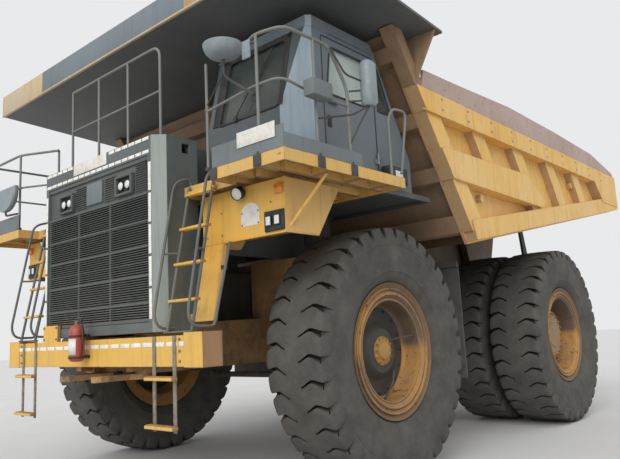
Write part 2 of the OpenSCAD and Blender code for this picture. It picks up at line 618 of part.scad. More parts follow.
module body_front_wall() color("#a9772b") at_axle() {
  w = wall_in - fit_gap;
  z0 = 2700;
  z1 = canopy_under(-30) - fit_gap;
  side_plate(-w, w, [[wall_y(z0) + 160, z0], [wall_y(z0) + 210, z0], [wall_y(z1) + 210, z1], [wall_y(z1) + 160, z1]]);
  for (r = [[2700, 2900], [3290, 3450], [3880, 4030], [4560, 4700]]) side_plate(-w, w, [[wall_y(r[0]) + 8, r[0]],
    [wall_y(r[0]) + 160 - fit_gap, r[0]], [wall_y(r[1]) + 160 - fit_gap, r[1]], [wall_y(r[1]) + 8, r[1]]]);
  both_sides() side_plate(wall_in, body_half - 30, [[wall_y(rail_top_z) + 10, rail_top_z + fit_gap],
    [wall_y(rail_top_z) + 210, rail_top_z + fit_gap], [wall_y(z1) + 210, z1], [wall_y(z1) + 10, z1]]);
  // gussets from the columns out to the canopy's rear corners
  zg = canopy_under(230) - fit_gap;
  both_sides() front_plate(200, 230, [[body_half - 30 + fit_gap, rail_top_z + 30], [body_half + 40, 4480],
    [canopy_w / 2 - 10, zg], [body_half - 30 + fit_gap, zg]]);
}

module canopy() color("#4a5258") at_axle() {
  half = canopy_w / 2;
  y0 = -1925;
  y1 = 356;
  ya = y0 + 30 + fit_gap;
  u0 = canopy_under(y0);
  ua = canopy_under(ya);
  u1 = canopy_under(y1);
  side_plate(-half, half, [[ya, ua], [y1, u1], [y1, u1 + 30], [ya, ua + 30]]);
  side_plate(-half, half, [[y0, u0], [y0 + 30, u0], [y0 + 30, u0 + fascia_h], [y0, u0 + fascia_h]]);
  for (x = [-2600, -1300, 0, 1300, 2600]) side_plate(x - 40, x + 40, [[ya, ua + 30 + fit_gap],
    [y1, u1 + 30 + fit_gap], [y1, u1 + 60], [y0 + 60, u0 + fascia_h - 40], [ya, u0 + fascia_h - 40]]);
}

module side_boards() color("#9c7b6c") at_axle() both_sides() side_plate(wall_in, wall_in + 30,
  [[wall_y(rail_top_z) + 230, rail_top_z + fit_gap], [wall_y(rail_top_z) + 230, rail_top_z + 210],
  [tail_reach - 200, rail_top_z + 20], [tail_reach - 200, rail_top_z + fit_gap]]);

// two-stage hoists, drawn shut along the line between their pins
module along_hoist() both_sides() translate([hoist_x, hoist_base[0], hoist_base[1]])
  rotate([atan2(hoist_base[0] - hoist_top[0], hoist_top[1] - hoist_base[1]), 0, 0]) children();

hoist_l = norm(hoist_top - hoist_base);

module hoist_barrels() color("#d0a040") at_axle() along_hoist() {
  difference() {
    translate([0, 0, 110]) cylinder(h = hoist_l - 250, r = 135);
    translate([0, 0, 180]) cylinder(h = hoist_l, r = 112);
  }
  difference() {
    union() {
      block(-50, 50, -80, 80, 0, 130);
      pin_x(-50, 50, 0, 0, 80);
    }
    pin_x(-60, 60, 0, 0, hoist_pin_r + pin_gap);
  }
}

module hoist_stages() color("#b9bcb8") at_axle() along_hoist() difference() {
  translate([0, 0, 180 + fit_gap]) cylinder(h = hoist_l - 300, r = 106);
  translate([0, 0, 240]) cylinder(h = hoist_l, r = 74);
}

module hoist_rods() color("#c8cac6") at_axle() along_hoist() {
  translate([0, 0, 240 + fit_gap]) cylinder(h = hoist_l - 310, r = 68);
  translate([0, 0, hoist_l - 90]) cylinder(h = 30, r = 68);
  pin_x(-70, 70, 0, hoist_l, 75);
  pin_x(-105, 105, 0, hoist_l, hoist_pin_r);
}

main_frame();
front_bumper();
suspension();
rear_axle();
engine();
radiator_shell();
grille();
hood();
decks();
rear_decks();
toe_boards();
fenders();
ladders();
hanging_steps();
hood_rail();
left_rail();
grab_rail();
right_rail();
cab_floor();
cab_front();
cab_rear();
cab_side_left();
cab_side_right();
cab_roof();
cab_glass();
seat();
steering_wheel();
mirrors();
lamps();
tanks();
mud_flaps();
extinguisher();
air_cleaners();
knuckle_left();
knuckle_right();
tie_rod();
front_left_rim();
front_left_tyre();
front_right_rim();
front_right_tyre();
rear_left_rims();
rear_left_tyres();
rear_right_rims();
rear_right_tyres();
body_floor();
body_beams();
body_side_left();
body_side_right();
body_front_wall();
canopy();
side_boards();
hoist_barrels();
hoist_stages();
hoist_rods();
cab_door();
door_glass();
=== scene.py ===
import bmesh
import bpy
import numpy as np
from mathutils import Matrix, Vector


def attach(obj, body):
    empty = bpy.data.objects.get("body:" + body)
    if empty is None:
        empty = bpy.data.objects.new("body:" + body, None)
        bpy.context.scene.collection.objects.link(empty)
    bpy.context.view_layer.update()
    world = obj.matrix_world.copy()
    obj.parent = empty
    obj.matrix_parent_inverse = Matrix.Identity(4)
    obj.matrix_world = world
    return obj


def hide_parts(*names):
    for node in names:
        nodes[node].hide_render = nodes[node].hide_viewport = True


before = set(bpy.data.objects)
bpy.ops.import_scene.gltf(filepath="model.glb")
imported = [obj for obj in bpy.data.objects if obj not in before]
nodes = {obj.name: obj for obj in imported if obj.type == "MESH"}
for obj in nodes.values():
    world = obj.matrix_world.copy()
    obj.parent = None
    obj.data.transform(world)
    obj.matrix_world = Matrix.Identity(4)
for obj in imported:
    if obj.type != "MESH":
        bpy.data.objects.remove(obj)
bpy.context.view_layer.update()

# Camera, light and floor
# The photograph was taken from the front left, just above axle height, with the lens tilted a little up.
aim = Vector((-0.64851, 0.74471, 0.15763)).normalized()
level = Vector((0.75408, 0.65678, 0))
tall = level.cross(aim)
roll = -0.0508
side = level * np.cos(roll) + tall * np.sin(roll)
above = tall * np.cos(roll) - level * np.sin(roll)
camera = bpy.data.objects.new("camera", bpy.data.cameras.new("camera"))
camera.data.lens = 36.74
camera.data.clip_end = 200
turned = Matrix((side, above, -aim)).transposed().to_4x4()
camera.matrix_world = Matrix.Translation((6.286, -8.304, 1.602)) @ turned
bpy.context.scene.collection.objects.link(camera)
bpy.context.scene.camera = camera
bpy.context.scene.view_settings.view_transform = "Standard"


def linear(code):
    """sRGB hex to linear RGBA: each part is scaled, then raised by the display curve."""
    c = np.array([int(code[i:i + 2], 16) for i in (1, 3, 5)]) / 255
    return (*np.where(c <= 0.04045, c / 12.92, ((c + 0.055) / 1.055) ** 2.4), 1.0)


def add(tree, kind, inputs=None, **settings):
    """Adds one shader node, sets its properties, and fills inputs with values or with links."""
    made = tree.nodes.new("ShaderNode" + kind)
    for key, value in settings.items():
        setattr(made, key, value)
    for key, value in (inputs or {}).items():
        if isinstance(value, bpy.types.NodeSocket):
            tree.links.new(value, made.inputs[key])
        else:
            made.inputs[key].default_value = value
    return made


def new_finish(name):
    """An empty material, with its node tree, its surface shader and the coordinates that its patterns read."""
    made = bpy.data.materials.new(name)
    made.use_nodes = True
    tree = made.node_tree
    return made, tree, tree.nodes["Principled BSDF"], add(tree, "TexCoord").outputs


world = bpy.data.worlds.new("overcast")
bpy.context.scene.world = world
world.use_nodes = True
sky = world.node_tree
sky.nodes.clear()
ray = add(sky, "LightPath")
seen = add(sky, "Math", {0: ray.outputs["Is Camera Ray"], 1: ray.outputs["Is Glossy Ray"]}, operation="MAXIMUM")
seen = add(sky, "Math", {0: seen.outputs[0], 1: ray.outputs["Is Transmission Ray"]}, operation="MAXIMUM")
backdrop = add(sky, "Background", {"Color": linear("#e9eaeb"), "Strength": 1.0})
daylight = add(sky, "Background", {"Color": linear("#f4f7fb"), "Strength": 0.72})
both = add(sky, "MixShader", {0: seen.outputs[0], 1: daylight.outputs[0], 2: backdrop.outputs[0]})
add(sky, "OutputWorld", {"Surface": both.outputs[0]})
sun = bpy.data.objects.new("soft_sun", bpy.data.lights.new("soft_sun", "SUN"))
sun.data.energy = 1.9
sun.data.angle = 0.9
sun.rotation_euler = Vector((-0.45, 0.9, -0.62)).to_track_quat("-Z", "Y").to_euler()
bpy.context.scene.collection.objects.link(sun)


def shell(points, wrap_u=False, wrap_v=False):
    """A grid of points as vertices and quads; a wrapped direction joins its last line to its first."""
    nu, nv = points.shape[:2]
    u = np.arange(nu if wrap_u else nu - 1)
    v = np.arange(nv if wrap_v else nv - 1)
    a, b = np.meshgrid(u, v, indexing="ij")
    c, d = (a + 1) % nu, (b + 1) % nv
    quads = np.stack([a * nv + b, c * nv + b, c * nv + d, a * nv + d], -1).reshape(-1, 4)
    return points.reshape(-1, 3), quads


def piece(name, shape, material, body, sharp=35, stage=False):
    """Puts a shell into a mesh, welds its seams and poles, turns its faces outward and lets it ride on a body."""
    points, quads = shape
    mesh = bpy.data.meshes.new(name)
    mesh.from_pydata(points.tolist(), [], quads.tolist())
    bm = bmesh.new()
    bm.from_mesh(mesh)
    bmesh.ops.remove_doubles(bm, verts=bm.verts, dist=1e-5)
    bmesh.ops.dissolve_degenerate(bm, edges=bm.edges, dist=1e-6)
    bmesh.ops.recalc_face_normals(bm, faces=bm.faces)
    bm.to_mesh(mesh)
    bm.free()
    mesh.shade_smooth()
    mesh.set_sharp_from_angle(angle=np.radians(sharp))
    mesh.materials.append(material)
    made = bpy.data.objects.new(name, mesh)
    bpy.context.scene.collection.objects.link(made)
    if stage:
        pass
    else:
        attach(made, body)
    return made


# pale concrete yard: matt, nearly even, with a faint mottling about a metre across
concrete, tree, shader, coord = new_finish("pale_concrete")
mottle = add(tree, "TexNoise", {"Vector": coord["Object"], "Scale": 0.9, "Detail": 5.0})
tone = add(tree, "Mix", {0: mottle.outputs[0], 6: linear("#d5d4d1"), 7: linear("#e0dfdc")}, data_type="RGBA")
tree.links.new(tone.outputs[2], shader.inputs["Base Color"])
shader.inputs["Roughness"].default_value = 0.9
u, v = np.meshgrid(np.linspace(-70, 70, 15), np.linspace(-70, 70, 15), indexing="ij")
piece("yard", shell(np.stack([u, v, np.zeros_like(u)], -1)), concrete, None, stage=True)


# Painted steel of the frame, body, decks and cab
# Rolled plate, welded and sprayed. Years of quarry dust lie on it, and its edges are rubbed and rusty.
def sprayed_plate(name, paint, faded, dust="#a08f78", rust="#6b4630", dusty=0.35, rusty=0.3, rough=0.55, mud=0.5,
                  streaks=0.35, edge=0.012, painted_light_by_facing=None):
    """Paint with fading over metres, dust on tops and low down, rust in patches, runs and along rubbed edges. Faces
    turned to a given direction can carry another colour: painted light and shade for how the light falls on them."""
    made, tree, shader, coord = new_finish(name)
    place = coord["Object"]
    fade = add(tree, "TexNoise", {"Vector": place, "Scale": 1.1, "Detail": 4.0, "Roughness": 0.6})
    fade = add(tree, "MapRange", {0: fade.outputs[0], 1: 0.35, 2: 0.65})
    colour = add(tree, "Mix", {0: fade.outputs[0], 6: linear(paint), 7: linear(faded)}, data_type="RGBA")
    # painted light and shade: faces turned the given way take a colour that stands for the light or shade on them
    if painted_light_by_facing:
        other, direction, least = painted_light_by_facing
        facing = add(tree, "VectorMath", {0: coord["Normal"], 1: direction}, operation="DOT_PRODUCT")
        facing = add(tree, "MapRange", {0: facing.outputs["Value"], 1: least - 0.12, 2: least + 0.02})
        colour = add(tree, "Mix", {0: facing.outputs[0], 6: colour.outputs[2], 7: linear(other)}, data_type="RGBA")
    # dust: on surfaces that look up, and in a cloudy film low down
    cloud = add(tree, "TexNoise", {"Vector": place, "Scale": 5.0, "Detail": 8.0, "Roughness": 0.65})
    up = add(tree, "SeparateXYZ", {0: coord["Normal"]})
    top = add(tree, "MapRange", {0: up.outputs[2], 1: 0.2, 2: 0.95, 3: 0.0, 4: 0.55})
    height = add(tree, "SeparateXYZ", {0: place})
    low = add(tree, "MapRange", {0: height.outputs[2], 1: 2.6, 2: 0.6, 3: 0.0, 4: mud})
    film = add(tree, "Math", {0: top.outputs[0], 1: low.outputs[0]}, operation="ADD")
    film = add(tree, "Math", {0: film.outputs[0], 1: dusty}, operation="ADD")
    grain = add(tree, "MapRange", {0: cloud.outputs[0], 1: 0.3, 2: 0.72})
    film = add(tree, "Math", {0: film.outputs[0], 1: grain.outputs[0]}, operation="MULTIPLY", use_clamp=True)
    colour = add(tree, "Mix", {0: film.outputs[0], 6: colour.outputs[2], 7: linear(dust)}, data_type="RGBA")
    # runs: dirt washed down in lines a few centimetres apart
    stretch = add(tree, "Mapping", {"Vector": place, "Scale": (9.0, 9.0, 0.55)})
    lines = add(tree, "TexNoise", {"Vector": stretch.outputs[0], "Scale": 1.6, "Detail": 6.0, "Roughness": 0.7})
    lines = add(tree, "MapRange", {0: lines.outputs[0], 1: 0.52, 2: 0.74, 3: 0.0, 4: streaks})
    colour = add(tree, "Mix", {0: lines.outputs[0], 6: colour.outputs[2], 7: linear(rust)}, data_type="RGBA")
    # rubbed edges: where a rounded edge of this radius would turn away from the flat face
    plain = add(tree, "NewGeometry").outputs["Normal"]
    rounded = add(tree, "Bevel", {"Radius": edge}, samples=4)
    turn = add(tree, "VectorMath", {0: rounded.outputs[0], 1: plain}, operation="DOT_PRODUCT")
    rubbed = add(tree, "MapRange", {0: turn.outputs["Value"], 1: 0.97, 2: 0.80})
    chips = add(tree, "TexNoise", {"Vector": place, "Scale": 14.0, "Detail": 7.0, "Roughness": 0.7})
    bits = add(tree, "MapRange", {0: chips.outputs[0], 1: 0.46, 2: 0.56})
    rubbed = add(tree, "Math", {0: rubbed.outputs[0], 1: bits.outputs[0]}, operation="MULTIPLY")
    spots = add(tree, "MapRange", {0: chips.outputs[0], 1: 0.74 - 0.2 * rusty, 2: 0.80 - 0.2 * rusty})
    bare = add(tree, "Math", {0: rubbed.outputs[0], 1: spots.outputs[0]}, operation="MAXIMUM")
    bare = add(tree, "Math", {0: bare.outputs[0], 1: min(1.0, rusty * 2)}, operation="MULTIPLY", use_clamp=True)
    colour = add(tree, "Mix", {0: bare.outputs[0], 6: colour.outputs[2], 7: linear(rust)}, data_type="RGBA")
    tree.links.new(colour.outputs[2], shader.inputs["Base Color"])
    matt = add(tree, "Math", {0: film.outputs[0], 1: bare.outputs[0]}, operation="MAXIMUM")
    matt = add(tree, "MapRange", {0: matt.outputs[0], 3: rough, 4: 0.92})
    tree.links.new(matt.outputs[0], shader.inputs["Roughness"])
    bump = add(tree, "Bump", {"Strength": 0.25, "Distance": 0.006, "Height": cloud.outputs[0],
                              "Normal": rounded.outputs[0]})
    tree.links.new(bump.outputs[0], shader.inputs["Normal"])
    return made


# its film low down is dark grey-brown, so the frame grows darker towards the bottom
chassis_yellow = sprayed_plate("chassis_yellow_paint", "#c29862", "#a47e54", dust="#4f463b", dusty=0.12, rusty=0.35,
                               mud=1.3)
# dark brown for the floor and beams under the body: grime, and painted shade for the dark underside
underbody_grime_and_shade = sprayed_plate("grimy_underbody_paint_and_painted_shade", "#75603f", "#5d4c38", dust="#4a4036", rust="#3a2e26",
                            dusty=0.35, rusty=0.3)
# faces turned to +X, such as the outer ends of the bumper, take a darker brown: painted shade
bumper_yellow = sprayed_plate("bumper_yellow_paint", "#e5b145", "#deb256", dusty=0.15, rusty=0.35, mud=0.1,
                              painted_light_by_facing=("#9b7650", (1.0, 0.0, 0.0), 0.8))
# faces turned to +X, the fenders' outer sides, take a duller tan: painted shade
fender_yellow = sprayed_plate("fender_yellow_paint", "#e8b148", "#e2b65c", dusty=0.15, rusty=0.25, mud=0.1,
                              painted_light_by_facing=("#d8ae64", (1.0, 0.0, 0.0), 0.8))
# faces turned to the front take a darker tan: painted shade on the body's front edges
body_yellow = sprayed_plate("body_yellow_paint", "#e5b357", "#e7c07a", dusty=0.15, rusty=0.42, mud=0.2,
                            painted_light_by_facing=("#b8946c", (0.0, -1.0, 0.0), 0.6))
wall_brown = sprayed_plate("dusty_brown_wall_paint", "#9d8062", "#7d6753", dust="#85705a", rust="#4d382a", dusty=0.3,
                           rusty=0.3)
# faces turned down take a darker brown: painted shade under the deck, with rust there too
deck_yellow = sprayed_plate("deck_yellow_paint", "#dcae52", "#d2a963", dusty=0.2, rusty=0.5,
                            painted_light_by_facing=("#8d745a", (0.0, 0.0, -1.0), 0.7))
slate = sprayed_plate("slate_grey_paint", "#5f696c", "#6d7678", dust="#8a867e", rust="#5a4a3c", dusty=0.2, rusty=0.2)
# faces turned to the front corner take a paler blue-grey: a painted highlight on the bevel
cab_slate = sprayed_plate("cab_slate_paint", "#5a646b", "#66717a", dust="#8d8a84", rust="#5d4c3d", dusty=0.15,
                          rusty=0.2, rough=0.4, painted_light_by_facing=("#8a98a0", (0.6, -0.8, 0.0), 0.93))
# the front corner bevel takes a paler grey-green: a painted sheen
shell_grey = sprayed_plate("radiator_shell_paint", "#4c5654", "#576160", dust="#8a867e", rust="#5a4a3c", dusty=0.15,
                           rusty=0.15, painted_light_by_facing=("#8d958e", (0.707, -0.707, 0.0), 0.9))
# a darker copy of the cab's slate for the front, which lies in the canopy's shade: painted shade; its corner bevel
# takes a paler blue-grey, a painted highlight
cab_front_shaded_slate = sprayed_plate("cab_front_paint_with_painted_shade", "#454d4f", "#4f5759", dust="#7d7a74", rust="#4d4238", dusty=0.1,
                                rusty=0.15, rough=0.35, painted_light_by_facing=("#7f909b", (0.6, -0.8, 0.0), 0.93))
dark_slate_and_shade = sprayed_plate("dark_slate_paint", "#474d50", "#52585a", dust="#7d776d", rust="#4d3f34", dusty=0.25,
                           rusty=0.15)
greasy_black = sprayed_plate("greasy_black_paint", "#2f3233", "#3a3b3a", dust="#6a6259", rust="#3f332b", dusty=0.3,
                             rusty=0.1, mud=0.5)
# the canopy's underside lies in shade: its dark grey is painted shade
canopy_painted_shade = sprayed_plate("canopy_grey_paint", "#505557", "#5b5f60", dust="#8a847a", rust="#4f3f35", dusty=0.12,
                            rusty=0.2)
rubber_sheet = sprayed_plate("dusty_rubber_sheet", "#464544", "#4f4d4a", dust="#77706a", rust="#35312e",
                             dusty=0.3, rusty=0.0, rough=0.8)
hoist_yellow = sprayed_plate("hoist_yellow_paint", "#b98f45", "#a9833f", dusty=0.35, rusty=0.2)


def painted(name, coat):
    """Gives a CAD node one material in place of those that it came with."""
    nodes[name].data.materials.clear()
    nodes[name].data.materials.append(coat)


coats = {
    chassis_yellow: "main_frame rear_axle",
    underbody_grime_and_shade: "body_floor body_beams",
    bumper_yellow: "front_bumper",
    fender_yellow: "fenders",
    body_yellow: "body_side_left body_side_right",
    wall_brown: "body_front_wall",
    deck_yellow: "decks",
    slate: "toe_boards",
    shell_grey: "radiator_shell",
    cab_front_shaded_slate: "cab_front",
    cab_slate: "cab_floor cab_rear cab_side_left cab_side_right cab_roof cab_door",
    # the hood, tanks and air cleaners are dark slate; on the rear decks, deep in shadow, the dark slate is painted
    # shade
    dark_slate_and_shade: "hood tanks rear_decks",
    greasy_black: "suspension engine knuckle_left knuckle_right tie_rod",
    canopy_painted_shade: "canopy",
    rubber_sheet: "mud_flaps",
    hoist_yellow: "hoist_barrels",
}
for coat, names in coats.items():
    for name in names.split():
        painted(name, coat)


# Front bumper and its reflecting tape
# A straight folded channel with a closed box at each end. White reflecting tape is stuck on in short dashes.
def rounded_block(lo, hi, r=0.006):
    """A block with rounded edges: each point of a sphere is pushed out to the corner of the block it looks toward."""
    lo, hi = np.array(lo, float), np.array(hi, float)
    r = min(r, (hi - lo).min() * 0.49)
    core = (hi - lo) / 2 - r
    turn = np.radians([0, 45, 90, 90, 135, 180, 180, 225, 270, 270, 315, 360])
    sx = np.array([1, 1, 1, -1, -1, -1, -1, -1, -1, 1, 1, 1])
    sy = np.array([1, 1, 1, 1, 1, 1, -1, -1, -1, -1, -1, -1])
    tilt = np.radians([-90, -45, 0, 0, 45, 90])
    sz = np.array([-1, -1, -1, 1, 1, 1])
    x = np.cos(tilt)[:, None] * np.cos(turn) * r + sx * core[0]
    y = np.cos(tilt)[:, None] * np.sin(turn) * r + sy * core[1]
    z = (np.sin(tilt) * r + sz * core[2])[:, None] * np.ones(12)
    grid = np.stack([x, y, z], -1)
    ends = [np.tile([[0, 0, side * (core[2] + r)]], (12, 1))[None] for side in (-1, 1)]
    return shell(np.concatenate([ends[0], grid, ends[1]]) + (lo + hi) / 2, False, True)


def together(shells):
    """Several shells as one: the vertex lists follow each other and the quads are counted on."""
    starts = np.cumsum([0] + [len(p) for p, _ in shells[:-1]])
    return np.concatenate([p for p, _ in shells]), np.concatenate([q + s for (_, q), s in zip(shells, starts)])


def spun(centre, axis, profile, steps=96):
    """A turned shape: profile points (distance along the axis, radius) carried round the axis through the centre."""
    profile = np.array(profile, float)
    axis = np.array(axis, float) / np.linalg.norm(axis)
    first = np.cross(axis, (0, 0, 1) if abs(axis[2]) < 0.9 else (1, 0, 0))
    first /= np.linalg.norm(first)
    second = np.cross(axis, first)
    angle = np.linspace(0, 2 * np.pi, steps, endpoint=False)[:, None, None]
    spoke = np.cos(angle) * first + np.sin(angle) * second
    return shell(np.array(centre) + profile[None, :, :1] * axis + profile[None, :, 1:] * spoke, True, False)


def bolts(places, axis, size=0.014, length=0.012):
    """Hexagon bolt heads with a chamfer, one at each place, standing out along the axis."""
    profile = [(0, size), (length * 0.8, size), (length, size * 0.85), (length, 0)]
    return together([spun(one, axis, profile, 6) for one in places])


front_axle = -2.505  # metres along Y, from the middle of the truck


def at(y):
    """Place along the truck, counted from the front axle."""
    return front_axle + y


def plain_finish(name, colour, rough, worn=None, metal=0.0, scale=12.0):
    """One colour with a cloudy change toward a second one, for small parts."""
    made, tree, shader, coord = new_finish(name)
    cloud = add(tree, "TexNoise", {"Vector": coord["Object"], "Scale": scale, "Detail": 6.0, "Roughness": 0.65})
    patch = add(tree, "MapRange", {0: cloud.outputs[0], 1: 0.4, 2: 0.7})
    tone = add(tree, "Mix", {0: patch.outputs[0], 6: linear(colour), 7: linear(worn or colour)}, data_type="RGBA")
    tree.links.new(tone.outputs[2], shader.inputs["Base Color"])
    shader.inputs["Roughness"].default_value = rough
    shader.inputs["Metallic"].default_value = metal
    return made


white_tape = plain_finish("dusty_reflecting_tape", "#f0efe9", 0.35, "#cfcabd", scale=25.0)
zinc = plain_finish("dull_zinc_bolts", "#8d8a82", 0.5, "#6d6255", metal=0.7, scale=40.0)
dashes = [rounded_block((x, at(-2.249), 1.525), (x + 0.155, at(-2.2455), 1.565), 0.002)
          for x in np.arange(-1.86, 1.6, 0.19)]
dashes += [rounded_block((x, at(-2.2035), z), (x + 0.108, at(-2.1995), z + 0.034), 0.002)
           for x in np.arange(-1.07, 0.97, 0.126) for z in (3.452, 3.590) if z < 3.5 or x > 0.28 or x < -0.54]
for x in (-1.086, 1.042):
    dashes += [rounded_block((x, at(-2.2035), z), (x + 0.044, at(-2.1995), z + 0.292), 0.002)
               for z in np.arange(1.79, 3.2, 0.318)]
piece("reflecting_tape", together(dashes), white_tape, "chassis")
blank_white = plain_finish("blank_white_plate", "#dedbd3", 0.4, "#c6c0b4")
piece("blank_number_plate", rounded_block((-0.43, at(-2.2065), 3.50), (0.27, at(-2.2), 3.628), 0.003), blank_white,
      "chassis")
heads = [(x, at(-2.246), z) for x in (-1.57, -1.5, 1.5, 1.57) for z in (1.39, 1.48, 1.585)]
heads += [(x, at(-2.244), z) for x in (-1.0, -0.71) for z in (1.65, 1.78)]
piece("bumper_bolts", bolts(heads, (0, -1, 0)), zinc, "chassis")

# Grille
# Folded sheet louvres in a welded frame, sprayed dark slate; a closed band above them carries the head lamps and a
# blank place in the middle.
slats = []
section = np.array([(-2.186, -0.011), (-2.189, -0.006), (-2.184, -0.001), (-2.160, 0.006), (-2.130, 0.013),
                    (-2.130, 0.009), (-2.158, 0.002), (-2.179, -0.006)])
for left, right, low, high in ((-1.03, 1.03, 1.80, 3.04), (0.79, 1.0, 3.08, 3.42), (0.19, 0.42, 3.10, 3.36),
                               (-0.42, -0.19, 3.10, 3.36)):
    for z in np.arange(low, high, 0.0245):
        ring = np.stack([np.zeros(8), at(section[:, 0]), z + section[:, 1]], -1)
        mid = ring.mean(0) * np.ones((8, 1))
        rows = np.stack([mid, ring, ring, mid]) + np.array([left, left, right, right])[:, None, None] * [1, 0, 0]
        slats.append(shell(rows, False, True))
frame_bars = [rounded_block((-1.03, at(-2.190), z), (1.03, at(-2.125), z + h), 0.006) for z, h in (
    (1.762, 0.030), (1.940, 0.020), (2.210, 0.020), (2.350, 0.014), (2.500, 0.022), (2.760, 0.022), (3.036, 0.030))]
frame_bars += [rounded_block((x, at(-2.182), 1.765), (x + w, at(-2.125), 3.05), 0.006) for x, w in (
    (-1.03, 0.03), (-0.36, 0.03), (0.29, 0.03), (1.0, 0.03))]
band = [rounded_block((-1.03, at(-2.172), 3.06), (1.03, at(-2.15), 3.43), 0.004),
        rounded_block((-1.03, at(-2.192), 3.385), (1.03, at(-2.15), 3.43), 0.005)]
grille_slate = sprayed_plate("grille_slate_paint", "#494f4d", "#535956", dust="#7c776c", rust="#473b30", dusty=0.12,
                             rusty=0.1, streaks=0.15, edge=0.003)
louvres = piece("louvres", together(slats + frame_bars + band), grille_slate, "chassis")
piece("radiator_core", rounded_block((-1.03, at(-2.12), 1.761), (1.03, at(-2.10), 3.429), 0.003), greasy_black,
      "chassis")
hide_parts("grille")
piece("blank_emblem_place", rounded_block((-0.166, at(-2.196), 3.10), (0.158, at(-2.17), 3.35), 0.012), slate,
      "chassis")


# Lamps
# Moulded black housings. Each lamp's ribbed clear lens carries a painted reflection of a bright dish; the indicator's
# is amber.
def mirrored(shape):
    """The same shape on the other side of the truck: X changes its sign."""
    return shape[0] * np.array([-1, 1, 1]), shape[1]


def both_sides(shapes):
    """The shapes of one side and the same ones on the other side, as one."""
    return together(shapes + [mirrored(one) for one in shapes])


def lens_finish(name, colour, painted_dish_reflection):
    """Clear moulded plastic, glossy, with fine vertical ribs; a bright dish is a painted reflection in bands along
    them.
    """
    made, tree, shader, coord = new_finish(name)
    ribs = add(tree, "TexWave", {"Vector": coord["Object"], "Scale": 40.0, "Distortion": 0.6}, bands_direction="X")
    tone = add(tree, "Mix", {0: ribs.outputs[1], 6: linear(colour), 7: linear(painted_dish_reflection)}, data_type="RGBA")
    tree.links.new(tone.outputs[2], shader.inputs["Base Color"])
    bump = add(tree, "Bump", {"Strength": 0.5, "Distance": 0.003, "Height": ribs.outputs[1]})
    tree.links.new(bump.outputs[0], shader.inputs["Normal"])
    shader.inputs["Roughness"].default_value = 0.12
    shader.inputs["Coat Weight"].default_value = 0.6
    return made


clear_lens = lens_finish("clear_lamp_lens", "#c9cdca", "#f2f3f0")
amber_lens = lens_finish("amber_lamp_lens", "#d9741c", "#ee8d2b")
black_plastic = plain_finish("black_moulded_plastic", "#1d1e1f", 0.55, "#3a3835")
head_lamps = (-0.590, 0.612)
shades, lenses = [], []
for x in head_lamps:
    for lo, hi in (((x - 0.155, 3.09), (x + 0.155, 3.118)), ((x - 0.155, 3.282), (x + 0.155, 3.31)),
                   ((x - 0.155, 3.10), (x - 0.127, 3.30)), ((x + 0.127, 3.10), (x + 0.155, 3.30))):
        shades.append(rounded_block((lo[0], at(-2.225), lo[1]), (hi[0], at(-2.17), hi[1]), 0.008))
piece("head_lamp_frames", together(shades), grille_slate, "chassis")
wells = [rounded_block((x - 0.13, at(-2.186), 3.11), (x + 0.13, at(-2.174), 3.29), 0.003) for x in head_lamps]
for x in head_lamps:
    for dx in (-0.062, 0.062):
        c = (x + dx, at(-2.186), 3.198)
        wells.append(spun(c, (0, -1, 0), [(0, 0.050), (0.022, 0.052), (0.026, 0.049), (0.022, 0.045)], 40))
        lenses.append(spun(c, (0, -1, 0), [(0.002, 0.045), (0.018, 0.044), (0.028, 0.036), (0.034, 0.018),
                                           (0.036, 0)], 40))
beam = (0.15, -0.9, -0.4)
work_lamp = (1.93, at(-1.80), 2.925)
can = [(-0.05, 0), (-0.05, 0.03), (-0.03, 0.055), (0.02, 0.062), (0.045, 0.064), (0.045, 0.058)]
wells_left = [rounded_block((2.225, at(-1.772), 2.505), (2.475, at(-1.7505), 2.695), 0.010),
              spun(work_lamp, beam, can, 32),
              rounded_block((1.91, at(-1.805), 2.96), (1.95, at(-1.775), 2.99), 0.004)]
wells_left += [rounded_block((x, at(-1.792), 2.552), (x + 0.068, at(-1.765), 2.648), 0.012) for x in (2.262, 2.370)]
lenses_left = [rounded_block((x + 0.006, at(-1.797), 2.560), (x + 0.062, at(-1.785), 2.640), 0.005)
               for x in (2.262, 2.370)]
lenses_left.append(spun(work_lamp, beam, [(0.038, 0.058), (0.046, 0.04), (0.050, 0)], 32))
wells += wells_left + [mirrored(one) for one in wells_left]
lenses += lenses_left + [mirrored(one) for one in lenses_left]
lamp_glass = piece("lamp_lenses", together(lenses), clear_lens, "chassis")
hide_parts("lamps")
piece("lamp_housings", together(wells), black_plastic, "chassis")
amber = rounded_block((2.375, at(-1.785), 2.842), (2.468, at(-1.7505), 2.932), 0.010)
piece("indicators", both_sides([amber]), amber_lens, "chassis")


# Fenders
# Welded boxes of plate, sprayed yellow. The leg has a dark clamp, and the front a blank riveted plate.
def prism(outline, low, high, axis, r=0.003):
    """An outline in two directions, carried from low to high along the third, its rims drawn in by r."""
    outline = np.array(outline, float)
    mid = outline.mean(0)
    away = outline - mid
    inner = mid + away * (1 - r / np.linalg.norm(away, axis=1).max())
    rows = [mid * np.ones_like(outline), inner, outline, outline, inner, mid * np.ones_like(outline)]
    level = [low, low, low + r, high - r, high, high]
    grid = np.stack([np.insert(row, axis, one, axis=1) for row, one in zip(rows, level)])
    return shell(grid, False, True)


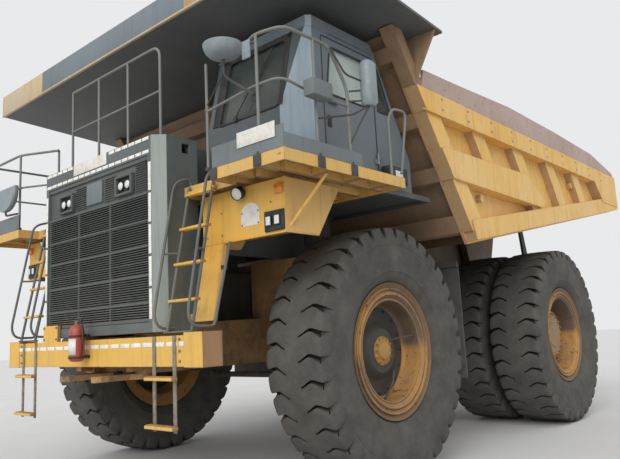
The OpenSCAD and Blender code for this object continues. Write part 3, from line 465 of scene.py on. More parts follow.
arch = np.linspace(0, np.pi, 13)
plate = [(1.90, 2.60), (2.15, 2.60)] + [(2.025 + 0.125 * np.cos(t), 2.72 + 0.10 * np.sin(t)) for t in arch]
piece("blank_fender_plate", prism(plate, at(-1.7545), at(-1.7505), 1, 0.001), blank_white, "chassis")
rivets = [(x, at(-1.7545), z) for x in (1.915, 2.135) for z in (2.615, 2.73)]
clamp = rounded_block((1.334, at(-1.800), 2.228), (1.646, at(-1.715), 2.268), 0.006)
lips = [rounded_block((1.335, at(-1.757), 2.478), (2.482, at(-1.745), 2.494), 0.005),
        rounded_block((2.470, at(-1.752), 2.480), (2.484, at(-1.300), 2.496), 0.005)]
piece("fender_clamps", both_sides([clamp]), greasy_black, "chassis")
piece("fender_lips", both_sides(lips), fender_yellow, "chassis")
rivets += [(sx * x, at(-1.7505), z) for sx in (1, -1) for x in (1.40, 1.62, 2.30) for z in (2.56, 2.78)]
piece("fender_bolts", bolts(rivets, (0, -1, 0), 0.009, 0.006), zinc, "chassis")


# Handrails, ladders and steps
# Bent and welded steel tube in dark sockets bolted to the deck's edge, ladders with yellow rungs, and two yellow
# treads hung from the bumper on rubber straps.
def tube(points, radius, bend=0.09, sides=14, closed=False):
    """A tube along a path. Each corner becomes a quadratic curve, and a ring of points follows the path, turning as
    little as it can from one place to the next."""
    points = np.array(points, float)
    t = np.linspace(0, 1, 7)[:, None]
    if closed:
        trio = zip(np.roll(points, 1, 0), points, np.roll(points, -1, 0))
        path = []
    else:
        trio = zip(points[:-2], points[1:-1], points[2:])
        path = [points[:1]]
    for a, b, c in trio:
        p = b + (a - b) * min(0.48, bend / np.linalg.norm(a - b))
        q = b + (c - b) * min(0.48, bend / np.linalg.norm(c - b))
        path.append((1 - t) ** 2 * p + 2 * t * (1 - t) * b + t * t * q)
    path = np.concatenate(path if closed else path + [points[-1:]])
    step = np.roll(path, -1, 0) - path if closed else np.diff(path, axis=0)
    step /= np.linalg.norm(step, axis=1)[:, None]
    if closed:
        ahead = step + np.roll(step, 1, 0)
    else:
        ahead = np.concatenate([step[:1], step[1:] + step[:-1], step[-1:]])
    ahead /= np.linalg.norm(ahead, axis=1)[:, None]
    normal = np.cross(ahead[0], (0.31, 0.17, 0.93) if abs(ahead[0][2]) < 0.9 else (0.9, 0.1, 0.2))
    normals = []
    for one in ahead:
        normal = normal - one * (normal @ one)
        normal /= np.linalg.norm(normal)
        normals.append(normal)
    normals = np.array(normals)
    angle = np.linspace(0, 2 * np.pi, sides, endpoint=False)[None, :, None]
    ring = np.cos(angle) * normals[:, None] + np.sin(angle) * np.cross(ahead, normals)[:, None]
    grid = path[:, None] + ring * radius
    if closed:
        return shell(grid, True, True)
    caps = [path[i] + ring[i] * radius * f for i, f in ((0, 0.0), (0, 0.8), (-1, 0.8), (-1, 0.0))]
    grid = np.concatenate([[caps[0], caps[1]], grid, [caps[2], caps[3]]])
    return shell(grid, False, True)


def rail(points, radius=0.02, bend=0.12):
    """A handrail tube; the places are given from the front axle."""
    return tube([(x, at(y), z) for x, y, z in points], radius, bend)


rail_grey = sprayed_plate("rail_grey_paint", "#6a6f6d", "#787a74", dust="#8e877c", rust="#5a4a3e", dusty=0.25,
                          rusty=0.3, edge=0.004)
deck_top = 3.1003  # the posts stand on the deck plate
hood_rail = [rail([(x, -2.04, 3.6303), (x, -2.04, 4.65)], 0.0145) for x in (-0.76, -0.16, 0.44)]
hood_rail += [rail([(-0.76, -2.04, 4.65), (1.04, -2.04, 4.65), (1.04, -2.04, 3.6303)], 0.0155, 0.14),
              rail([(-0.76, -2.04, 4.15), (1.04, -2.04, 4.15)], 0.0125)]
made = piece("hood_guard_rail", together(hood_rail), rail_grey, "chassis")
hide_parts("hood_rail")
left = [rail([(1.88, -2.12, deck_top), (1.88, -2.12, 4.14)], 0.0145),
        rail([(2.56, -2.12, deck_top), (2.56, -2.12, 4.2)], 0.0145),
        rail([(2.84, -1.68, deck_top), (2.84, -1.68, 4.2)], 0.0145),
        rail([(2.48, -2.12, 4.17), (2.56, -2.12, 4.2), (2.82, -2.04, 4.21), (2.84, -1.68, 4.2), (2.84, -1.46, 4.2),
              (2.84, -1.21, 3.85), (2.84, -1.21, deck_top)], 0.016, 0.10),
        rail([(1.88, -2.12, 3.672), (2.56, -2.12, 3.732), (2.79, -2.06, 3.752), (2.84, -1.68, 3.672),
              (2.84, -1.21, 3.672)], 0.0125, 0.10)]
made = piece("left_deck_rail", together(left), rail_grey, "chassis")
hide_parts("left_rail")
grab = rail([(2.84, -0.54, 3.1005), (2.84, -0.545, 3.70), (2.84, -0.45, 3.83), (2.84, -0.23, 3.85),
             (2.84, -0.21, 3.78), (2.84, -0.36, 3.15)], 0.0145, 0.06)
made = piece("cab_grab_rail", grab, rail_grey, "chassis")
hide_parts("grab_rail")
right = [rail([(-x, y, deck_top), (-x, y, 4.12)], 0.0145) for x, y in (
    (1.5, -1.84), (2.0, -2.12), (2.84, -2.12), (2.84, -1.2), (2.84, -0.42))]
right += [rail([(-1.48, -1.85, z), (-2.0, -2.12, z), (-2.84, -2.12, z), (-2.84, -0.39, z)], size, 0.10)
          for z, size in ((4.12, 0.016), (3.672, 0.0125))]
made = piece("right_deck_rail", together(right), rail_grey, "chassis")
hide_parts("right_rail")
socket = [(0, 0), (0, 0.026), (0.004, 0.030), (0.026, 0.030), (0.030, 0.024), (0.030, 0.013)]
places = [(1.88, -2.12), (2.56, -2.12), (2.84, -1.68), (2.84, -1.21), (-1.5, -1.84), (-2.0, -2.12), (-2.84, -2.12),
          (-2.84, -1.2), (-2.84, -0.42)]
feet = [spun((x, at(y), 3.101), (0, 0, 1), socket, 20) for x, y in places]
feet += [rounded_block((2.872, at(y) - 0.045, 2.992), (2.884, at(y) + 0.045, 3.098), 0.003) for y in (-1.68, -1.21)]
feet += [rounded_block((x - 0.045, at(-2.164), 2.992), (x + 0.045, at(-2.152), 3.098), 0.003) for x in (1.99, 2.56)]
piece("post_sockets", together(feet), greasy_black, "chassis")
piece("grey_switch_box", rounded_block((2.86, at(-1.86), 3.60), (2.98, at(-1.60), 3.75), 0.008), slate, "chassis")
case = [rounded_block((2.4905, at(-0.205), 3.14), (2.595, at(0.15), 3.33), 0.010),
        rounded_block((2.592, at(-0.185), 3.16), (2.602, at(0.13), 3.31), 0.006)]
piece("cab_side_lamp_case", together(case), black_plastic, "chassis")
piece("cab_side_lamp_lens", rounded_block((2.600, at(-0.10), 3.19), (2.607, at(0.04), 3.28), 0.003), clear_lens,
      "chassis")
piece("blank_deck_plate", rounded_block((2.31, at(-2.1555), 3.205), (2.778, at(-2.1503), 3.345), 0.003), blank_white,
      "chassis")

ladder_grey = sprayed_plate("ladder_grey_paint", "#4f5352", "#5d605c", dust="#8e877c", rust="#4d3f35", dusty=0.25,
                            rusty=0.3, edge=0.004)
ladder, rungs = [], []
for x in (1.32, 1.69):
    ladder.append(rail([(x, -2.2, 1.655), (x, -1.905, 3.08)], 0.015))
for x in (1.25, 1.76):
    ladder.append(rail([(x, -1.83, deck_top), (x, -1.83, 3.15), (x, -1.87, 3.19), (x, -2.04, 3.12), (x, -2.30, 1.80),
                        (x, -2.24, 1.69), (x, -2.06, 1.69)], 0.014, 0.09))
ladder.append(rail([(1.76, -2.07, 1.69), (1.762, -2.00, 1.69), (1.785, -1.80, 2.478)], 0.014, 0.06))
for a, b in ((1.25, 1.32), (1.76, 1.69)):
    ladder.append(rail([(a, -2.182, 2.4), (b, -2.044, 2.4)], 0.012))
ladder.append(rounded_block((1.30, at(-2.23), 1.6443), (1.71, at(-2.17), 1.658), 0.004))
for z in (1.94, 2.29, 2.64, 2.99):
    y = at(-2.2 + 0.295 * (z - 1.655) / 1.425)
    rungs.append(rounded_block((1.30, y - 0.035, z - 0.014), (1.71, y + 0.035, z + 0.014), 0.008))
rungs.append(rounded_block((1.29, at(-1.93), 3.005), (1.72, at(-1.8805), 3.030), 0.006))
made = piece("ladder_tubes", both_sides(ladder), ladder_grey, "chassis")
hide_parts("ladders")
piece("ladder_rungs", both_sides(rungs), bumper_yellow, "chassis")
treads, straps = [], []
for x in (1.165, 1.475):
    straps.append(rounded_block((x, at(-2.262), 0.76), (x + 0.045, at(-2.2463), 1.62), 0.005))
for z in (0.79, 1.22):
    treads.append(rounded_block((1.13, at(-2.335), z), (1.555, at(-2.2625), z + 0.030), 0.006))
    treads += [rounded_block((x, at(-2.330), z + 0.026), (x + 0.012, at(-2.262), z + 0.038), 0.004)
               for x in np.arange(1.15, 1.53, 0.03)]
strap_belt = plain_finish("dusty_rubber_belt", "#8b8272", 0.85, "#6a6155", scale=18.0)
made = piece("step_straps", both_sides(straps), strap_belt, "chassis")
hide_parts("hanging_steps")
piece("step_treads", both_sides(treads), bumper_yellow, "chassis")

# Mirrors
# Pressed grey shells on bent tube stays, with silvered glass on the side that faces the driver.
mirror_shell = plain_finish("grey_mirror_shell", "#7d888c", 0.45, "#8f9697")
silver = plain_finish("silvered_glass", "#c9d2d4", 0.06, metal=1.0)
bowl = [(0.0, 0.0), (0.003, 0.05), (0.014, 0.10), (0.034, 0.138), (0.066, 0.168), (0.105, 0.184), (0.128, 0.188),
        (0.134, 0.185), (0.133, 0.178), (0.126, 0.176), (0.120, 0.09), (0.120, 0.0)]
shells = [spun((2.165, at(-2.15), 4.085), (0, 0, 1), bowl, 64)]
tall_mirror = [(2.935, -1.118), (2.952, -1.140), (2.985, -1.151), (3.02, -1.149), (3.048, -1.134), (3.061, -1.108),
               (3.063, -1.03), (3.055, -1.014), (2.945, -1.012), (2.932, -1.03)]
shells.append(prism([(x, at(y)) for x, y in tall_mirror], 3.665, 4.11, 2, 0.03))
shells.append(rounded_block((2.42, at(-2.162), 3.99), (2.52, at(-2.1405), 4.16), 0.008))
wide = np.linspace(np.pi, 2 * np.pi, 21)
outline = [(-2.235 + 0.305 * np.cos(t), 3.62 + 0.25 * np.sin(t)) for t in wide] + [(-1.93, 3.688), (-2.54, 3.688)]
shells.append(prism(outline, at(-2.235), at(-2.165), 1, 0.02))
made = piece("mirror_shells", together(shells), mirror_shell, "chassis")
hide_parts("mirrors")
silvered = [rounded_block((2.948, at(-1.016), 3.70), (3.048, at(-1.008), 4.075), 0.003),
            rounded_block((2.428, at(-2.143), 3.998), (2.512, at(-2.138), 4.152), 0.002)]
inside = [(-2.235 + 0.28 * np.cos(t), 3.62 + 0.225 * np.sin(t)) for t in wide] + [(-1.955, 3.668), (-2.515, 3.668)]
silvered.append(prism(inside, at(-2.167), at(-2.161), 1, 0.002))
piece("mirror_glasses", together(silvered), silver, "chassis")
stays = [rail([(2.54, -2.1472, 3.64), (2.25, -2.151, 3.86), (2.165, -2.151, 3.93), (2.165, -2.151, 4.09)], 0.012,
              0.05),
         rail([(1.89, -2.125, 3.73), (2.16, -2.15, 3.95)], 0.007),
         rail([(2.52, -2.15, 4.12), (2.546, -2.1305, 4.12)], 0.009),
         rail([(2.854, -1.1997, 3.72), (2.952, -1.128, 3.72)], 0.009),
         rail([(2.854, -1.1997, 3.82), (2.952, -1.128, 3.82)], 0.009),
         rail([(2.86, -1.46, 4.18), (2.90, -1.30, 3.95), (2.975, -1.10, 3.90)], 0.010, 0.05),
         rail([(2.86, -1.66, 3.45), (2.93, -1.25, 3.56), (2.99, -1.08, 3.67)], 0.010, 0.05),
         rail([(2.845, -1.21, 3.30), (2.93, -1.15, 3.50), (3.00, -1.08, 3.67)], 0.009, 0.04),
         rail([(-2.0077, -2.147, 3.32), (-2.235, -2.20, 3.32), (-2.235, -2.20, 3.38)], 0.014, 0.04)]
piece("mirror_stays", together(stays), greasy_black, "chassis")

# Fire extinguisher
# A pressed steel bottle in red enamel, strapped to the bumper. It has a brass valve, a rubber hose and a pale blank
# label.
red_enamel = sprayed_plate("red_enamel", "#a63a2c", "#b24c3a", dust="#8f7767", rust="#5a3a30", dusty=0.15, rusty=0.15,
                           rough=0.35, mud=0.1)
bottle_x, bottle_y = -0.03, at(-2.368)
bottle = [(0, 0), (0.004, 0.05), (0.02, 0.074), (0.045, 0.081), (0.30, 0.081), (0.335, 0.076), (0.362, 0.058),
          (0.378, 0.032), (0.384, 0.022), (0.402, 0.022), (0.404, 0.0)]
made = piece("extinguisher_bottle", spun((bottle_x, bottle_y, 1.402), (0, 0, 1), bottle, 48), red_enamel, "chassis")
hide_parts("extinguisher")
brass = plain_finish("dull_brass_valve", "#9c8446", 0.4, "#6f6140", metal=0.8)
valve = [spun((bottle_x, bottle_y, 1.80), (0, 0, 1), [(0, 0.0), (0, 0.016), (0.028, 0.016), (0.032, 0.0)], 24),
         spun((bottle_x, bottle_y, 1.822), (1, 0, 0), [(-0.03, 0), (-0.03, 0.011), (0.045, 0.011), (0.048, 0)], 20)]
piece("extinguisher_valve", together(valve), brass, "chassis")
grip = [tube([(-0.05, bottle_y, 1.836), (0.02, bottle_y, 1.846), (0.085, bottle_y, 1.832)], 0.007, 0.03),
        tube([(-0.05, bottle_y, 1.830), (0.02, bottle_y, 1.828), (0.075, bottle_y, 1.808)], 0.006, 0.03)]
grip += [tube([(0.015, bottle_y, 1.822), (0.075, at(-2.37), 1.80), (0.095, at(-2.37), 1.70),
               (0.085, at(-2.37), 1.52), (0.07, at(-2.37), 1.46)], 0.010, 0.05)]
grip += [spun((bottle_x, bottle_y, z), (0, 0, 1), [(0, 0.0815), (0, 0.0845), (0.022, 0.0845), (0.022, 0.0815)], 48)
         for z in (1.435, 1.655)]
grip += [rounded_block((-0.09, at(-2.292), z), (0.03, at(-2.2463), z + 0.03), 0.004) for z in (1.435, 1.655)]
piece("extinguisher_hose", together(grip), black_plastic, "chassis")
angle = np.linspace(-2.5, -0.6, 25)
label = np.stack([np.stack([bottle_x + 0.0822 * np.cos(angle), bottle_y + 0.0822 * np.sin(angle),
                            np.full(25, z)], -1) for z in (1.475, 1.64)])
made = piece("blank_label", shell(label), blank_white, "chassis")
made.modifiers.new("paper", "SOLIDIFY").thickness = 0.0006

# Cab trim
# Rubber seals round the panes, a wiper, a door handle and a roof gutter. Inside stand a sprung seat in dark cloth and
# the steering column with its wheel.
def slope(z):
    """Place of the cab's raked front at a height, from the front axle."""
    return -1.5 + np.maximum(z - 3.77, 0) * 0.2356


seals = [tube([(x, at(slope(z)) - 0.003, z) for x, z in ((1.33, 3.79), (2.215, 3.79), (2.19, 4.55), (1.35, 4.55))],
              0.011, 0.05, 8, True)]
seals.append(tube([(2.482, at(y), z) for y, z in ((-1.065, 3.955), (-0.395, 3.955), (-0.395, 4.47), (-0.985, 4.47))],
                  0.010, 0.05, 8, True))
door_seals = [seals.pop()]
seals.append(tube([(2.482, at(y), z) for y, z in ((-0.185, 3.96), (0.065, 3.96), (-0.155, 4.465), (-0.185, 4.465))],
                  0.008, 0.03, 8, True))
seals.append(tube([(2.481, at(y), z) for y, z in ((-1.121, 3.16), (-0.249, 3.16), (-0.249, 4.56), (-1.121, 4.56))],
                  0.006, 0.03, 8, True))
seals.append(tube([(1.149, at(y), z) for y, z in ((-1.15, 3.88), (-0.15, 3.88), (-0.25, 4.49), (-1.15, 4.49))],
                  0.010, 0.05, 8, True))
seal_rubber = plain_finish("black_seal_rubber", "#202223", 0.7, "#3b3935")
piece("window_seals", together(seals), seal_rubber, "chassis")
door_seals.append(tube([(2.494, at(-1.05), 3.865), (2.515, at(-1.04), 3.865), (2.515, at(-0.94), 3.865),
                        (2.494, at(-0.93), 3.865)], 0.009, 0.02))
door_seals.append(rounded_block((2.4795, at(-1.075), 3.60), (2.492, at(-1.02), 3.72), 0.008))
piece("door_seal_and_handle", together(door_seals), seal_rubber, "door")
wiper = [tube([(1.60, at(slope(3.80)) - 0.03, 3.80), (1.75, at(slope(4.05)) - 0.035, 4.05),
               (1.90, at(slope(4.30)) - 0.02, 4.30)], 0.007, 0.05, 8),
         tube([(1.70, at(slope(4.0)) - 0.014, 4.02), (2.02, at(slope(4.45)) - 0.014, 4.50)], 0.009, 0.05, 8),
         spun((1.60, at(slope(3.80)) + 0.002, 3.80), (0, -1, 0), [(0, 0.03), (0.03, 0.026), (0.038, 0.0)], 24)]
piece("windscreen_wiper", together(wiper), black_plastic, "chassis")
gutter = tube([(1.14, at(-1.305), 4.615), (2.24, at(-1.305), 4.615), (2.488, at(-1.04), 4.615),
               (2.488, at(-0.20), 4.615)], 0.010, 0.05, 10)
piece("roof_gutter", gutter, cab_slate, "chassis")
cloth = plain_finish("dark_seat_cloth", "#26292c", 0.9, "#34363a", scale=60.0)
seat_parts = [rounded_block((1.60, at(-0.72), 3.44), (2.10, at(-0.16), 3.57), 0.05),
              rounded_block((1.66, at(-0.60), 3.17), (2.04, at(-0.20), 3.44), 0.03)]
back = rounded_block((-0.25, -0.055, 0.0), (0.25, 0.055, 0.64), 0.05)[0]
lean_back = np.stack([back[:, 0] + 1.85, at(-0.20) + back[:, 1] + back[:, 2] * 0.14, 3.55 + back[:, 2]], -1)
seat_parts.append((lean_back, rounded_block((0, 0, 0), (1, 1, 1))[1]))
made = piece("sprung_seat", together(seat_parts), cloth, "chassis")
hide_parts("seat")
lean = np.radians(40)  # of the steering column, from upright
wheel_axis = np.array((0, -np.sin(lean), np.cos(lean)))
wheel_at = np.array((1.85, at(-1.01), 3.86))
turn = np.linspace(0, 2 * np.pi, 24, endpoint=False)
flat = np.array((0, np.cos(lean), np.sin(lean)))
ring = [wheel_at + 0.205 * (np.cos(t) * np.array((1, 0, 0)) + np.sin(t) * flat) for t in turn]
wheel_parts = [tube(ring, 0.016, 0.02, 10, True), tube([(1.85, at(-1.2383), 3.5882), wheel_at], 0.027, 0.05),
               tube([wheel_at + (-0.2, 0, 0), wheel_at + (0.2, 0, 0)], 0.012, 0.05),
               spun(wheel_at, -wheel_axis, [(-0.02, 0), (-0.018, 0.05), (0.01, 0.055), (0.03, 0.03), (0.03, 0)], 28)]
made = piece("steering_wheel_and_column", together(wheel_parts), black_plastic, "chassis")
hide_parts("steering_wheel")

# Cab windows
# Flat laminated glass with a faint green tint and a film of dust, set in dark rubber.
def pane_finish(name, clear, dusty, least, most):
    """Thin glass: the film of dust changes its colour, its gloss and how much of the inside shows."""
    made, tree, shader, coord = new_finish(name)
    cloud = add(tree, "TexNoise", {"Vector": coord["Object"], "Scale": 3.0, "Detail": 6.0})
    haze = add(tree, "MapRange", {0: cloud.outputs[0], 1: 0.3, 2: 0.75, 3: 0.05, 4: 0.32})
    tint = add(tree, "Mix", {0: haze.outputs[0], 6: linear(clear), 7: linear(dusty)}, data_type="RGBA")
    tree.links.new(tint.outputs[2], shader.inputs["Base Color"])
    rough = add(tree, "MapRange", {0: cloud.outputs[0], 3: 0.03, 4: 0.2})
    tree.links.new(rough.outputs[0], shader.inputs["Roughness"])
    veil = add(tree, "MapRange", {0: cloud.outputs[0], 1: 0.3, 2: 0.8, 3: least, 4: most})
    tree.links.new(veil.outputs[0], shader.inputs["Alpha"])
    return made


panes = {
    "cab_glass": pane_finish("dark_laminated_glass", "#3f4845", "#7d807a", 0.5, 0.75),
    # the door glass's pale colour is a painted reflection of the sky, with dust over it
    "door_glass": pane_finish("door_glass_painted_sky_and_dust", "#bccbc6", "#cfd2cb", 0.55, 0.8),
}
for name, finish in panes.items():
    painted(name, finish)
# the black printed border round the windscreen, on the outside of the frame
border = []
for lo, hi in (((1.225, 3.80), (1.335, 4.60)), ((2.205, 3.80), (2.262, 4.60)), ((1.225, 4.55), (2.262, 4.615))):
    (x0, z0), (x1, z1) = lo, hi
    strip = rounded_block((x0, -0.0085, z0), (x1, -0.0005, z1), 0.002)
    points = strip[0].copy()
    points[:, 1] += at(slope(points[:, 2]))
    border.append((points, strip[1]))
piece("windscreen_border", together(border), seal_rubber, "chassis")

# Canopy fascia
# Thin steel panels on the front lip: slate in the middle, dusty tan and yellow ends, and a pale folded edge below. A
# brown gusset is welded behind each of the canopy's columns.
tan_paint = sprayed_plate("tan_fascia_paint", "#c4ab84", "#bfb095", dusty=0.2, rusty=0.25, mud=0.0)
fascia_slate = sprayed_plate("fascia_slate_paint", "#67737a", "#717b80", dust="#8d8a84", rust="#54463b", dusty=0.1,
                             rusty=0.1, mud=0.0)
low, high = 4.99, 5.289
panels = {
    "fascia_left_end": (1.318, 3.064, body_yellow),
    "fascia_middle": (-1.811, 1.316, fascia_slate),
    "fascia_right_end": (-3.064, -1.813, tan_paint),
}
for name, (x0, x1, coat) in panels.items():
    piece(name, rounded_block((x0, at(-1.934), low + 0.012), (x1, at(-1.9245), high), 0.003), coat, "dump_body")
piece("fascia_edge", rounded_block((-3.064, at(-1.940), low - 0.012), (3.064, at(-1.905), low + 0.014), 0.006),
      tan_paint, "dump_body")

gusset = prism([(2.604, 4.545), (2.775, 4.545), (2.775, 4.862), (2.604, 4.862)], at(0.202), at(0.229), 1, 0.003)
piece("column_gussets", both_sides([gusset]), wall_brown, "dump_body")

# Air cleaners
# Two pressed steel canisters on the right-hand deck with rolled rims and rain caps.
canister = [(0, 0), (0, 0.200), (0.012, 0.210), (0.10, 0.210), (0.108, 0.216), (0.120, 0.216), (0.128, 0.210),
            (0.50, 0.210), (0.508, 0.216), (0.520, 0.216), (0.528, 0.210), (0.60, 0.206), (0.625, 0.190),
            (0.630, 0.258), (0.650, 0.262), (0.675, 0.250), (0.70, 0.190), (0.712, 0.10), (0.715, 0)]
cans = together([spun((-x, at(-1.4), deck_top), (0, 0, 1), canister, 56) for x in (1.35, 1.85)])
made = piece("air_canisters", cans, dark_slate_and_shade, "chassis")
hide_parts("air_cleaners")

# Hoist rods
# Ground and chromed steel tubes, oily, with a little dust on the oil.
rod_chrome = plain_finish("oily_rod_chrome", "#b9bcbd", 0.25, "#8f8a80", metal=1.0, scale=5.0)
for name in ("hoist_stages", "hoist_rods"):
    painted(name, rod_chrome)

# Hoses and lines
# Black rubber hose on the hoists, brakes and axle, held in clips.
hose_rubber = plain_finish("black_hose_rubber", "#26272a", 0.7, "#4a463f", scale=30.0)
lines = []
for side in (1, -1):
    lines += [tube([(side * x, at(y), z) for x, y, z in run], size, 0.12) for run, size in (
        (((0.61, 2.60, 1.90), (0.66, 2.75, 1.70), (0.72, 2.90, 1.42), (0.80, 2.83, 1.30)), 0.022),
        (((0.61, 2.50, 1.95), (0.68, 2.62, 1.78), (0.76, 2.80, 1.50), (0.84, 2.80, 1.38)), 0.018),
        (((0.60, 0.30, 1.76), (0.90, 0.28, 1.70), (1.15, 0.22, 1.52), (1.26, 0.18, 1.35)), 0.016),
        (((0.60, 4.10, 1.80), (0.72, 4.25, 1.68), (0.80, 4.40, 1.58), (0.84, 4.50, 1.53)), 0.016))]
piece("hydraulic_hoses", together(lines), hose_rubber, "chassis")

# Side boards
# Rolled plates welded on top of the side rails to hold more load. The paint is worn off: bare steel, pale with dust
# and pink with rust, scraped along the top.
worn_steel = sprayed_plate("bare_rusty_steel", "#ab9389", "#b8a299", dust="#a89a8a", rust="#7a4f3d", dusty=0.2,
                           rusty=0.7, rough=0.6)
board_line = [(0.30, 4.2905), (0.345, 4.508), (1.14, 4.538), (2.68, 4.614), (4.47, 4.598), (6.20, 4.547), (7.36, 4.36),
              (7.42, 4.2905)]
board = prism([(at(y), z) for y, z in board_line], 2.752, 2.784, 0, 0.003)
made = piece("worn_side_boards", both_sides([board]), worn_steel, "dump_body")
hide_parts("side_boards")

# Rock ejectors
# Heavy black steel bars hung from the load body, one between each pair of rear tyres, to knock out wedged stones.
bar_line = [(4.89, 3.16), (5.01, 3.16), (5.12, 2.75), (5.12, 2.45), (5.05, 2.28), (4.96, 2.28), (4.97, 2.72)]
bars = [prism([(at(y), z) for y, z in bar_line], 1.80, 1.84, 0, 0.004),
        rounded_block((1.74, at(4.87), 3.15), (1.90, at(5.03), 3.178), 0.006)]
piece("rock_ejectors", both_sides(bars), greasy_black, "dump_body")

# Load body trim
# Weld beads along the side rails, and the heads of the liner bolts.
beads = []
for side in (1, -1):
    beads += [tube([(side * 2.802, at(0.24), 4.016), (side * 2.802, at(6.15), 4.030)], 0.008, 0.05, 8),
              tube([(side * 2.794, at(6.52), 3.738), (side * 2.794, at(7.42), 3.762)], 0.008, 0.05, 8)]
piece("body_weld_beads", together(beads), body_yellow, "dump_body")
heads = bolts([(2.800, at(y), z) for y in np.arange(0.7, 7.2, 0.65) for z in (4.10, 4.23)], (1, 0, 0), 0.015, 0.012)
piece("liner_bolts", both_sides([heads]), worn_steel, "dump_body")


# Tyres
# Rock tyres of radial rubber: 35 lugs a side, parted by wavy grooves that end short of a solid crown. The moulded
# sidewalls are smooth, with two low rings. Grey dust lies over the rubber; the dips carry painted shade.
def smooth(t):
    """Eases from 0 to 1: three times t squared less twice t cubed."""
    t = np.clip(t, 0, 1)
    return t * t * (3 - 2 * t)


def tyre_surface(centre):
    """Rows run across the tyre from bead to bead, columns round it. Eight columns share a lug pitch: two lie on the
    floor of the groove, two on its upper edges and four on the lug. Toward the crown they spread out evenly."""
    lugs = 35
    # across one half: distance from the middle, radius, groove depth there
    half = np.array([
        (0.000, 1.345, 0.000), (0.045, 1.345, 0.000), (0.085, 1.344, 0.000), (0.090, 1.344, 0.030),
        (0.120, 1.343, 0.055), (0.165, 1.342, 0.062), (0.210, 1.340, 0.066), (0.255, 1.338, 0.070),
        (0.300, 1.335, 0.074), (0.338, 1.331, 0.074), (0.352, 1.322, 0.064), (0.360, 1.300, 0.046),
        (0.367, 1.262, 0.030), (0.372, 1.225, 0.016), (0.375, 1.196, 0.006), (0.3725, 1.188, 0.0),
        (0.3735, 1.165, 0.0), (0.3735, 1.150, 0.0), (0.3775, 1.146, 0.0), (0.3775, 1.138, 0.0), (0.374, 1.134, 0.0),
        (0.376, 1.080, 0.0), (0.374, 1.000, 0.0), (0.366, 0.930, 0.0), (0.352, 0.868, 0.0), (0.3525, 0.862, 0.0),
        (0.3490, 0.850, 0.0), (0.343, 0.846, 0.0), (0.322, 0.800, 0.0), (0.290, 0.757, 0.0), (0.264, 0.733, 0.0),
        (0.252, 0.720, 0.0), (0.238, 0.690, 0.0), (0.225, 0.650, 0.0), (0.218, 0.629, 0.0)])
    rows = np.concatenate([half[::-1], half[1:]])
    sides = np.concatenate([-np.ones(len(half)), np.ones(len(half) - 1)])
    across = np.abs(rows[:, 0])
    t = np.clip((across - 0.09) / 0.25, 0, 1)
    bend = np.interp(t, [0, 0.1, 0.45, 0.6, 1.0], [0.13, 0.09, -0.13, -0.14, 0.0])
    floor_half = np.interp(t, [0, 0.3, 1], [0.02, 0.03, 0.05])
    upper = np.interp(t, [0, 0.4, 0.75, 1], [0.035, 0.05, 0.06, 0.08])
    lower = np.interp(t, [0, 0.4, 0.75, 1], [0.04, 0.06, 0.12, 0.20])
    start, stop = bend + lower, 1 + bend - upper
    spread = [bend - floor_half, bend + floor_half] + [start + (stop - start) * f for f in (0, 0.2, 0.4, 0.6, 0.8, 1)]
    spread = np.stack(spread)
    even = np.arange(8)[:, None] / 8.0
    ease = smooth((across - 0.01) / 0.075)
    spread = even * (1 - ease) + spread * ease
    depth = np.zeros((8, len(rows)))
    depth[:2] = rows[:, 2]
    # slopes of the shoulder rows: how much of the depth goes inward and how much sideways
    inward = np.interp(across, [0.0, 0.34, 0.352, 0.372], [1.0, 0.97, 0.75, 0.15])
    k = np.arange(lugs * 8)
    shift = np.where(sides > 0, 4, 0)
    column = (k[:, None] - shift[None, :]) % 8
    lug = (k[:, None] - shift[None, :]) // 8
    angle = (lug + spread[column, np.arange(len(rows))] + shift / 8.0) * 2 * np.pi / lugs
    d = depth[column, np.arange(len(rows))]
    # rounded lug tops: the outer columns of a lug sit a little lower
    d = d + np.where((column == 2) | (column == 7), 0.007, 0.0) * ease * (rows[:, 2] > 0)
    radius = rows[:, 1] - d * inward
    x = rows[:, 0] * sides - d * np.sqrt(1 - inward ** 2) * sides
    y, z = radius * np.cos(angle), radius * np.sin(angle)
    outer = np.stack([x * np.ones_like(y), y, z], -1)
    rim = outer[:, [-1, 0]]
    inner = np.stack([rim[..., 0] * 0.9, rim[..., 1] * 0.998, rim[..., 2] * 0.998], -1)
    ring = np.concatenate([outer, inner], 1)
    return shell(ring + np.array(centre), True, True)


tyre_rubber, tree, shader, coord = new_finish("dusty_tyre_rubber")
cloud = add(tree, "TexNoise", {"Vector": coord["Object"], "Scale": 3.5, "Detail": 8.0, "Roughness": 0.65})
film = add(tree, "MapRange", {0: cloud.outputs[0], 1: 0.3, 2: 0.7})
colour = add(tree, "Mix", {0: film.outputs[0], 6: linear("#454340"), 7: linear("#5f5c56")}, data_type="RGBA")
fine = add(tree, "TexNoise", {"Vector": coord["Object"], "Scale": 40.0, "Detail": 6.0, "Roughness": 0.7})
specks = add(tree, "MapRange", {0: fine.outputs[0], 1: 0.55, 2: 0.75, 4: 0.35})
colour = add(tree, "Mix", {0: specks.outputs[0], 6: colour.outputs[2], 7: linear("#837b70")}, data_type="RGBA")
